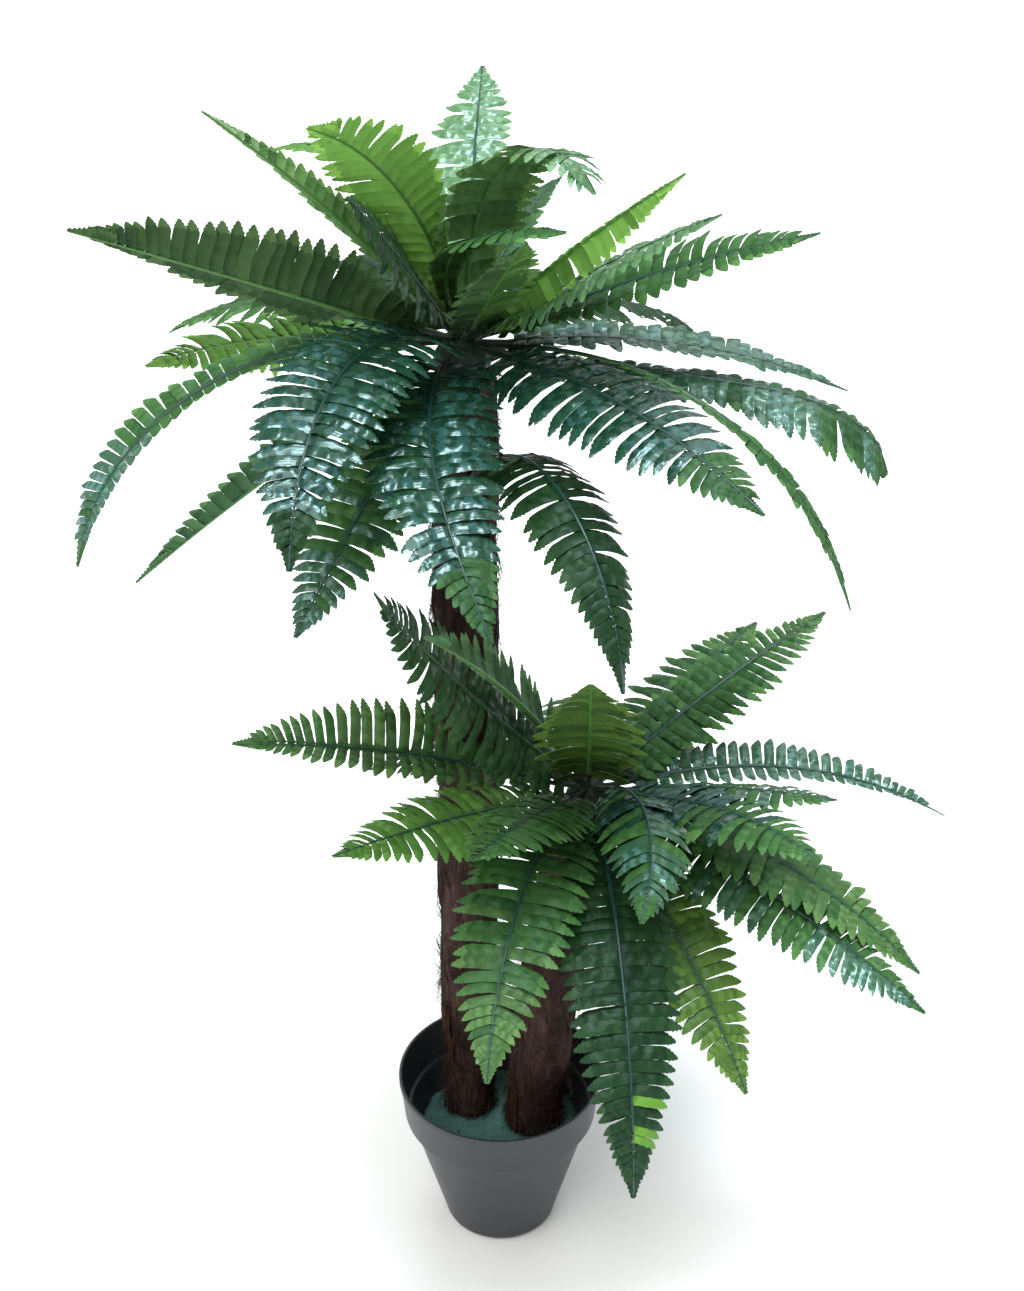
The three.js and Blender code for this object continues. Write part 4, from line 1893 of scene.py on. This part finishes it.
@dataclass
class Pot:
    """The nursery pot: body, ledge, flared collar, rolled rim and inner wall, in millimetres."""

    base: float = 54.0
    body: float = 86.0
    collar: float = 90.5
    rim: float = 95.5
    ledge: float = 125.0
    height: float = 168.0
    wall: float = 2.4
    floor: float = 4.0
    round: float = 8.0
    sides: int = 144

    def body_radius(self, height: float) -> float:
        """The outer radius of the body at a height, in millimetres."""
        share = (height - self.round) / (self.ledge - self.round)
        return self.base + (self.body - self.base) * share

    def profile(self) -> list[tuple[float, float]]:
        """The rings of the pot, from the foot over the rim to the inner floor.

        Returns:
            Radius and height of each ring in turn.
        """
        turns = [math.radians(angle) for angle in range(15, 91, 15)]
        outer = [
            (self.base - self.round * (1 - math.sin(turn)), self.round * (1 - math.cos(turn)))
            for turn in turns
        ]
        inside = self.ledge + self.wall
        return outer + [
            (self.body - 0.4, self.ledge - 1.5),
            (self.body, self.ledge),
            (self.collar, self.ledge),
            (self.collar + 0.4, self.ledge + 1.6),
            (self.rim - 1.2, self.height - 7.0),
            (self.rim, self.height - 5.5),
            (self.rim, self.height - 0.4),
            (self.rim - 0.4, self.height),
            (self.rim - self.wall, self.height),
            (self.rim - self.wall - 0.3, self.height - 0.6),
            (self.collar - self.wall, inside + 0.8),
            (self.collar - self.wall - 0.8, inside),
            (self.body_radius(inside) - self.wall + 0.4, inside),
            (self.body_radius(inside) - self.wall, inside - 0.8),
            (self.body_radius(self.floor) - self.wall, self.floor),
        ]

    def build(self) -> Object:
        """Models the pot as a turned solid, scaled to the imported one.

        Returns:
            The piece.
        """
        low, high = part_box("pot")
        scale = (high.x - low.x) / 2 / self.rim
        foot, start = Vector((0.0, 0.0, low.z)), self.base - self.round
        obj = turned("pot_moulding", foot, self.sides, scale, start, self.profile())
        apply_modifier(obj, "BEVEL", width=0.5 * MM, segments=2, limit_method="ANGLE",
                       angle_limit=math.radians(25))
        obj.data.materials.append(PotFinish().material())
        smooth(obj, 32.0)
        return finish_piece(obj, "pot_plastic", "pot")


@dataclass
class Fill:
    """The rough painted fill, a little domed, with a ragged sunken edge."""

    sides: int = 96
    cuts: int = 15
    swell: float = 1.6 * MM
    grit: float = 0.6 * MM
    edge: float = 6.0 * MM
    edge_from: float = 0.9
    dome: float = 2.0 * MM
    swell_grain: float = 55.0
    grit_grain: float = 190.0
    edge_grain: float = 70.0

    def build(self) -> Object:
        """Models the fill from a cone frustum whose top is subdivided and moved.

        Returns:
            The piece.
        """
        low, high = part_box("fill")
        cloud = points_of(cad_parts["fill"])
        foot = float(np.linalg.norm(cloud[cloud[:, 2] < low.z + 1 * MM][:, :2], axis=1).max())
        radius = (high.x - low.x) / 2
        obj = primitive(bpy.ops.mesh.primitive_cone_add, "fill_surface", vertices=self.sides,
                        radius1=foot, radius2=radius, depth=high.z - low.z, end_fill_type="TRIFAN",
                        location=(0.0, 0.0, (low.z + high.z) / 2))
        bpy.ops.object.mode_set(mode="EDIT")
        select_faces(obj, lambda face: face.normal.z > 0.9)
        bpy.ops.mesh.subdivide(number_cuts=self.cuts)
        bpy.ops.object.mode_set(mode="OBJECT")
        points = points_of(obj)
        for index, (x, y, z) in enumerate(points):
            if z < high.z - 1 * MM:
                continue
            reach = math.hypot(x, y) / radius
            swell = self.swell * wobble(x * self.swell_grain, y * self.swell_grain, 3.0)
            grit = self.grit * wobble(x * self.grit_grain, y * self.grit_grain, 9.0)
            ragged = 0.5 + 0.5 * wobble(x * self.edge_grain, y * self.edge_grain, 1.0)
            sunken = max(0.0, (reach - self.edge_from) / (1.0 - self.edge_from))
            fall = self.edge * sunken**2 * ragged + self.dome * reach**2
            points[index, 2] = z + swell + grit - fall
        set_points(obj, points)
        obj.data.materials.append(FillFinish().material())
        smooth(obj, 60.0)
        return finish_piece(obj, "painted_fill", "fill")


# ---------------------------------------------------------------- studio


@dataclass(frozen=True)
class Lamp:
    """A far lamp: the side it shines from, its width in degrees, and its power per square metre."""

    name: str
    place: tuple[float, float, float]
    spread: float
    power: float
    colour: Colour

    def add(self) -> None:
        """Adds the lamp, aimed at the plant's foot."""
        deselect()
        bpy.ops.object.light_add(type="SUN", location=self.place)
        lamp = bpy.context.object
        lamp.name = self.name
        lamp.data.energy = self.power
        lamp.data.angle = math.radians(self.spread)
        lamp.data.color = self.colour
        lamp.rotation_euler = (-Vector(self.place)).to_track_quat("-Z", "Y").to_euler()


@dataclass
class Studio:
    """Floor, soft lights and camera."""

    floor_size: float = 120.0
    camera_place: tuple[float, float, float] = (0.0114, -1.306, 1.328)
    camera_pitch: float = 28.3
    lens: float = 50.0
    sensor: float = 36.0
    clip: tuple[float, float] = (0.01, 100.0)
    background: Colour = (1.0, 1.0, 1.0)
    background_strength: float = 0.42
    lamps: tuple[Lamp, ...] = (
        Lamp("key_lamp", (-1.2, -1.6, 2.4), 50.0, 2.0, (1.0, 0.99, 0.95)),
        Lamp("top_lamp", (0.15, -0.20, 2.4), 24.0, 3.0, (0.88, 0.97, 1.0)),
        Lamp("rear_lamp", (0.6, 1.7, 2.2), 45.0, 0.8, (0.92, 0.98, 1.0)),
    )

    def build(self) -> None:
        """Sets up everything that isn't the plant."""
        self.floor()
        self.world()
        for lamp in self.lamps:
            lamp.add()
        self.camera()

    def floor(self) -> None:
        """Lays the floor."""
        floor = primitive(bpy.ops.mesh.primitive_plane_add, "studio_floor", size=self.floor_size)
        floor.data.materials.append(FloorFinish().material())

    def world(self) -> None:
        """Sets the even light from all round."""
        world = bpy.data.worlds.new("studio")
        bpy.context.scene.world = world
        world.use_nodes = True
        back = next(node for node in world.node_tree.nodes if node.type == "BACKGROUND")
        back.inputs["Color"].default_value = (*self.background, 1.0)
        back.inputs["Strength"].default_value = self.background_strength

    def camera(self) -> None:
        """Sets the camera."""
        tilt = math.radians(90.0 - self.camera_pitch)
        deselect()
        bpy.ops.object.camera_add(location=self.camera_place, rotation=(tilt, 0.0, 0.0))
        camera = bpy.context.object
        camera.data.lens = self.lens
        camera.data.sensor_width = self.sensor
        camera.data.clip_start, camera.data.clip_end = self.clip
        bpy.context.scene.camera = camera
        bpy.context.scene.view_settings.view_transform = "Standard"


TALL_SCRAPS = (
    SheathScrap(205.0, 66 * MM, 80 * MM, 22 * MM),
    SheathScrap(330.0, 30 * MM, 60 * MM, 16 * MM),
)
SHORT_SCRAPS = (
    SheathScrap(216.0, -1 * MM, 58 * MM, 17 * MM),
    SheathScrap(20.0, 90 * MM, 70 * MM, 22 * MM),
)
GREEN_END = Patch(Tint.FERN, 0.77, blur=0.03)
TALL_HABITS = {
    1: Habit(Tint.DEEP, left_fold=0.0, right=(1.0, 0.9, 0.7, 0.5, 0.3), right_fold=-30.0, spread=1.12),
    2: Habit(Tint.LEAF, left=(0.36,), right=(0.4,), patches=(Patch(Tint.PALE, 0.8, blur=0.05),)),
    3: Habit(Tint.LIME, left=(0.2, 0.3, 0.8, 1.0, 1.0), left_fold=0.0, right_fold=0.0),
    4: Habit(Tint.PALE, right=(0.2, 0.2, 0.35, 1.0, 1.0), least=0.2),
    5: Habit(Tint.LEAF, left=(0.95, 0.95, 0.9, 1.1, 1.6), left_fold=28.0,
             right=(0.95, 0.95, 0.9, 1.2, 1.7), right_fold=-10.0, spread=0.98, taper=0.1,
             patches=(Patch(Tint.PALE, 0.7, blur=0.03),)),
    6: Habit(Tint.MID, left=(0.3, 0.3, 0.5, 0.9, 1.2), right=(0.35, 0.35, 0.6, 1.0, 1.2),
             spread=1.2, taper=0.1),
    7: Habit(Tint.DEEP, left=(0.65,), left_fold=34.0, right=(0.62,), right_fold=16.0,
             patches=(Patch(Tint.MID, right=False),)),
    8: Habit(Tint.LIME, left=(0.55,), right=(0.1,), spread=0.95,
             patches=(Patch(Tint.FRESH, stop=0.45, blur=0.2),)),
    10: Habit(Tint.MID, left_fold=22.0, right=(0.8,), right_fold=14.0),
    11: Habit(Tint.MIST, left=(0.75,), left_fold=14.0, right=(0.55,)),
    12: Habit(Tint.MIST, left=(0.7, 0.7, 0.7, 1.0, 1.8), left_fold=24.0,
              right=(0.6, 0.6, 0.55, 1.4, 2.4), taper=0.0,
              patches=(Patch(Tint.FERN, 0.66, blur=0.12),)),
    13: Habit(Tint.MID, left=(0.1, 0.1, 0.15, 0.45, 0.6), left_fold=26.0,
              right=(0.1, 0.1, 0.2, 0.55, 0.7), least=0.1),
    14: Habit(Tint.TEAL, left_fold=26.0, least=1.0, patches=(GREEN_END,)),
    15: Habit(Tint.DEEP, left_fold=20.0, right_fold=20.0, spread=1.12, least=1.15),
    16: Habit(Tint.TEAL, left_fold=18.0, right_fold=18.0, least=1.0, spread=1.1, patches=(GREEN_END,)),
    17: Habit(Tint.TEAL, left_fold=10.0, right_fold=22.0, least=1.0, spread=1.12,
              patches=(Patch(Tint.DEEP, 0.86, blur=0.03),)),
    18: Habit(Tint.MID, left_fold=14.0, right_fold=22.0, patches=(Patch(Tint.MIST, 0.7, blur=0.2),)),
    19: Habit(Tint.MID, left=(0.1, 0.1, 0.15, 0.3, 0.6), right=(0.45, 0.4, 0.4, 0.9, 1.4),
              right_fold=14.0, spread=0.95, patches=(Patch(Tint.MIST, 0.62, 0.95, blur=0.04),)),
    21: Habit(Tint.MIST, left=(0.6,), right=(0.2,)),
    22: Habit(Tint.FERN, left=(0.45,), left_fold=20.0, right=(0.4,), right_fold=20.0),
    24: Habit(Tint.FRESH, left=(0.1, 0.1, 0.1, 0.5, 1.0), right=(0.1, 0.1, 0.1, 0.5, 1.0), least=0.1),
}
SHORT_HABITS = {
    1: Habit(Tint.MID, left=(0.85,), right=(1.05,), right_fold=34.0, spread=0.9,
             patches=(Patch(Tint.LEAF, 0.35, 0.95, blur=0.25),)),
    2: Habit(Tint.FRESH, left_fold=0.0, right_fold=20.0),
    3: Habit(Tint.MID, spread=1.2),
    4: Habit(Tint.FERN, left_fold=-16.0, right=(1.1,), right_fold=30.0),
    5: Habit(Tint.MIST, left=(0.95,), left_fold=52.0, right=(0.25,), right_fold=0.0, spread=0.9),
    6: Habit(Tint.OLIVE, left_fold=0.0, right_fold=0.0),
    7: Habit(Tint.FERN, spread=0.9, patches=(Patch(Tint.LEAF, 0.75, blur=0.12),)),
    8: Habit(Tint.MID, left=(0.9,), right=(1.05,), spread=0.88,
             patches=(Patch(Tint.LEAF, 0.75, blur=0.1),)),
    9: Habit(Tint.MIST, left=(0.66,), left_fold=44.0, right=(0.5, 0.5, 0.3, 0.2), spread=0.86),
    10: Habit(Tint.TEAL, patches=(Patch(Tint.MID, 0.55, blur=0.1),)),
    11: Habit(Tint.MIST, patches=(Patch(Tint.MID, 0.5, blur=0.3),)),
    12: Habit(Tint.MID, spread=0.98, patches=(Patch(Tint.MIST, 0.45, blur=0.25, left=False),)),
    13: Habit(Tint.MID, patches=(Patch(Tint.LEAF, 0.45, blur=0.3),)),
    14: Habit(Tint.MID, left_fold=-12.0, right_fold=-15.0, patches=(
        Patch(Tint.TEAL, stop=0.45, blur=0.12), Patch(Tint.MIST, 0.5, 0.8, blur=0.15))),
    15: Habit(Tint.DEEP, patches=(
        Patch(Tint.LIME, 0.735, 0.765, right=False), Patch(Tint.LIME, 0.81, 0.845, right=False))),
    16: Habit(Tint.OLIVE, left_fold=14.0),
    17: Habit(Tint.FERN, spread=1.02, patches=(
        Patch(Tint.MID, 0.3, 0.7, blur=0.15), Patch(Tint.LEAF, 0.62, blur=0.12))),
}


def main() -> None:
    """Builds the plant and the studio; each finished piece is logged."""
    logging.basicConfig(level=logging.INFO, format="%(name)s: %(message)s")
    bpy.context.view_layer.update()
    Pot().build()
    Fill().build()
    Trunk(CrownName.TALL, 3, scraps=TALL_SCRAPS).build()
    Trunk(CrownName.SHORT, 8, scraps=SHORT_SCRAPS).build()
    Crown(CrownName.TALL, "mflpmfmlpfmmmtottfmffpdfmdmmdm", 11, TALL_HABITS).build()
    Crown(CrownName.SHORT, "mfmdmodmpmmmmtdomdmmd", 23, SHORT_HABITS).build()
    Studio().build()


if __name__ == "__main__":
    main()
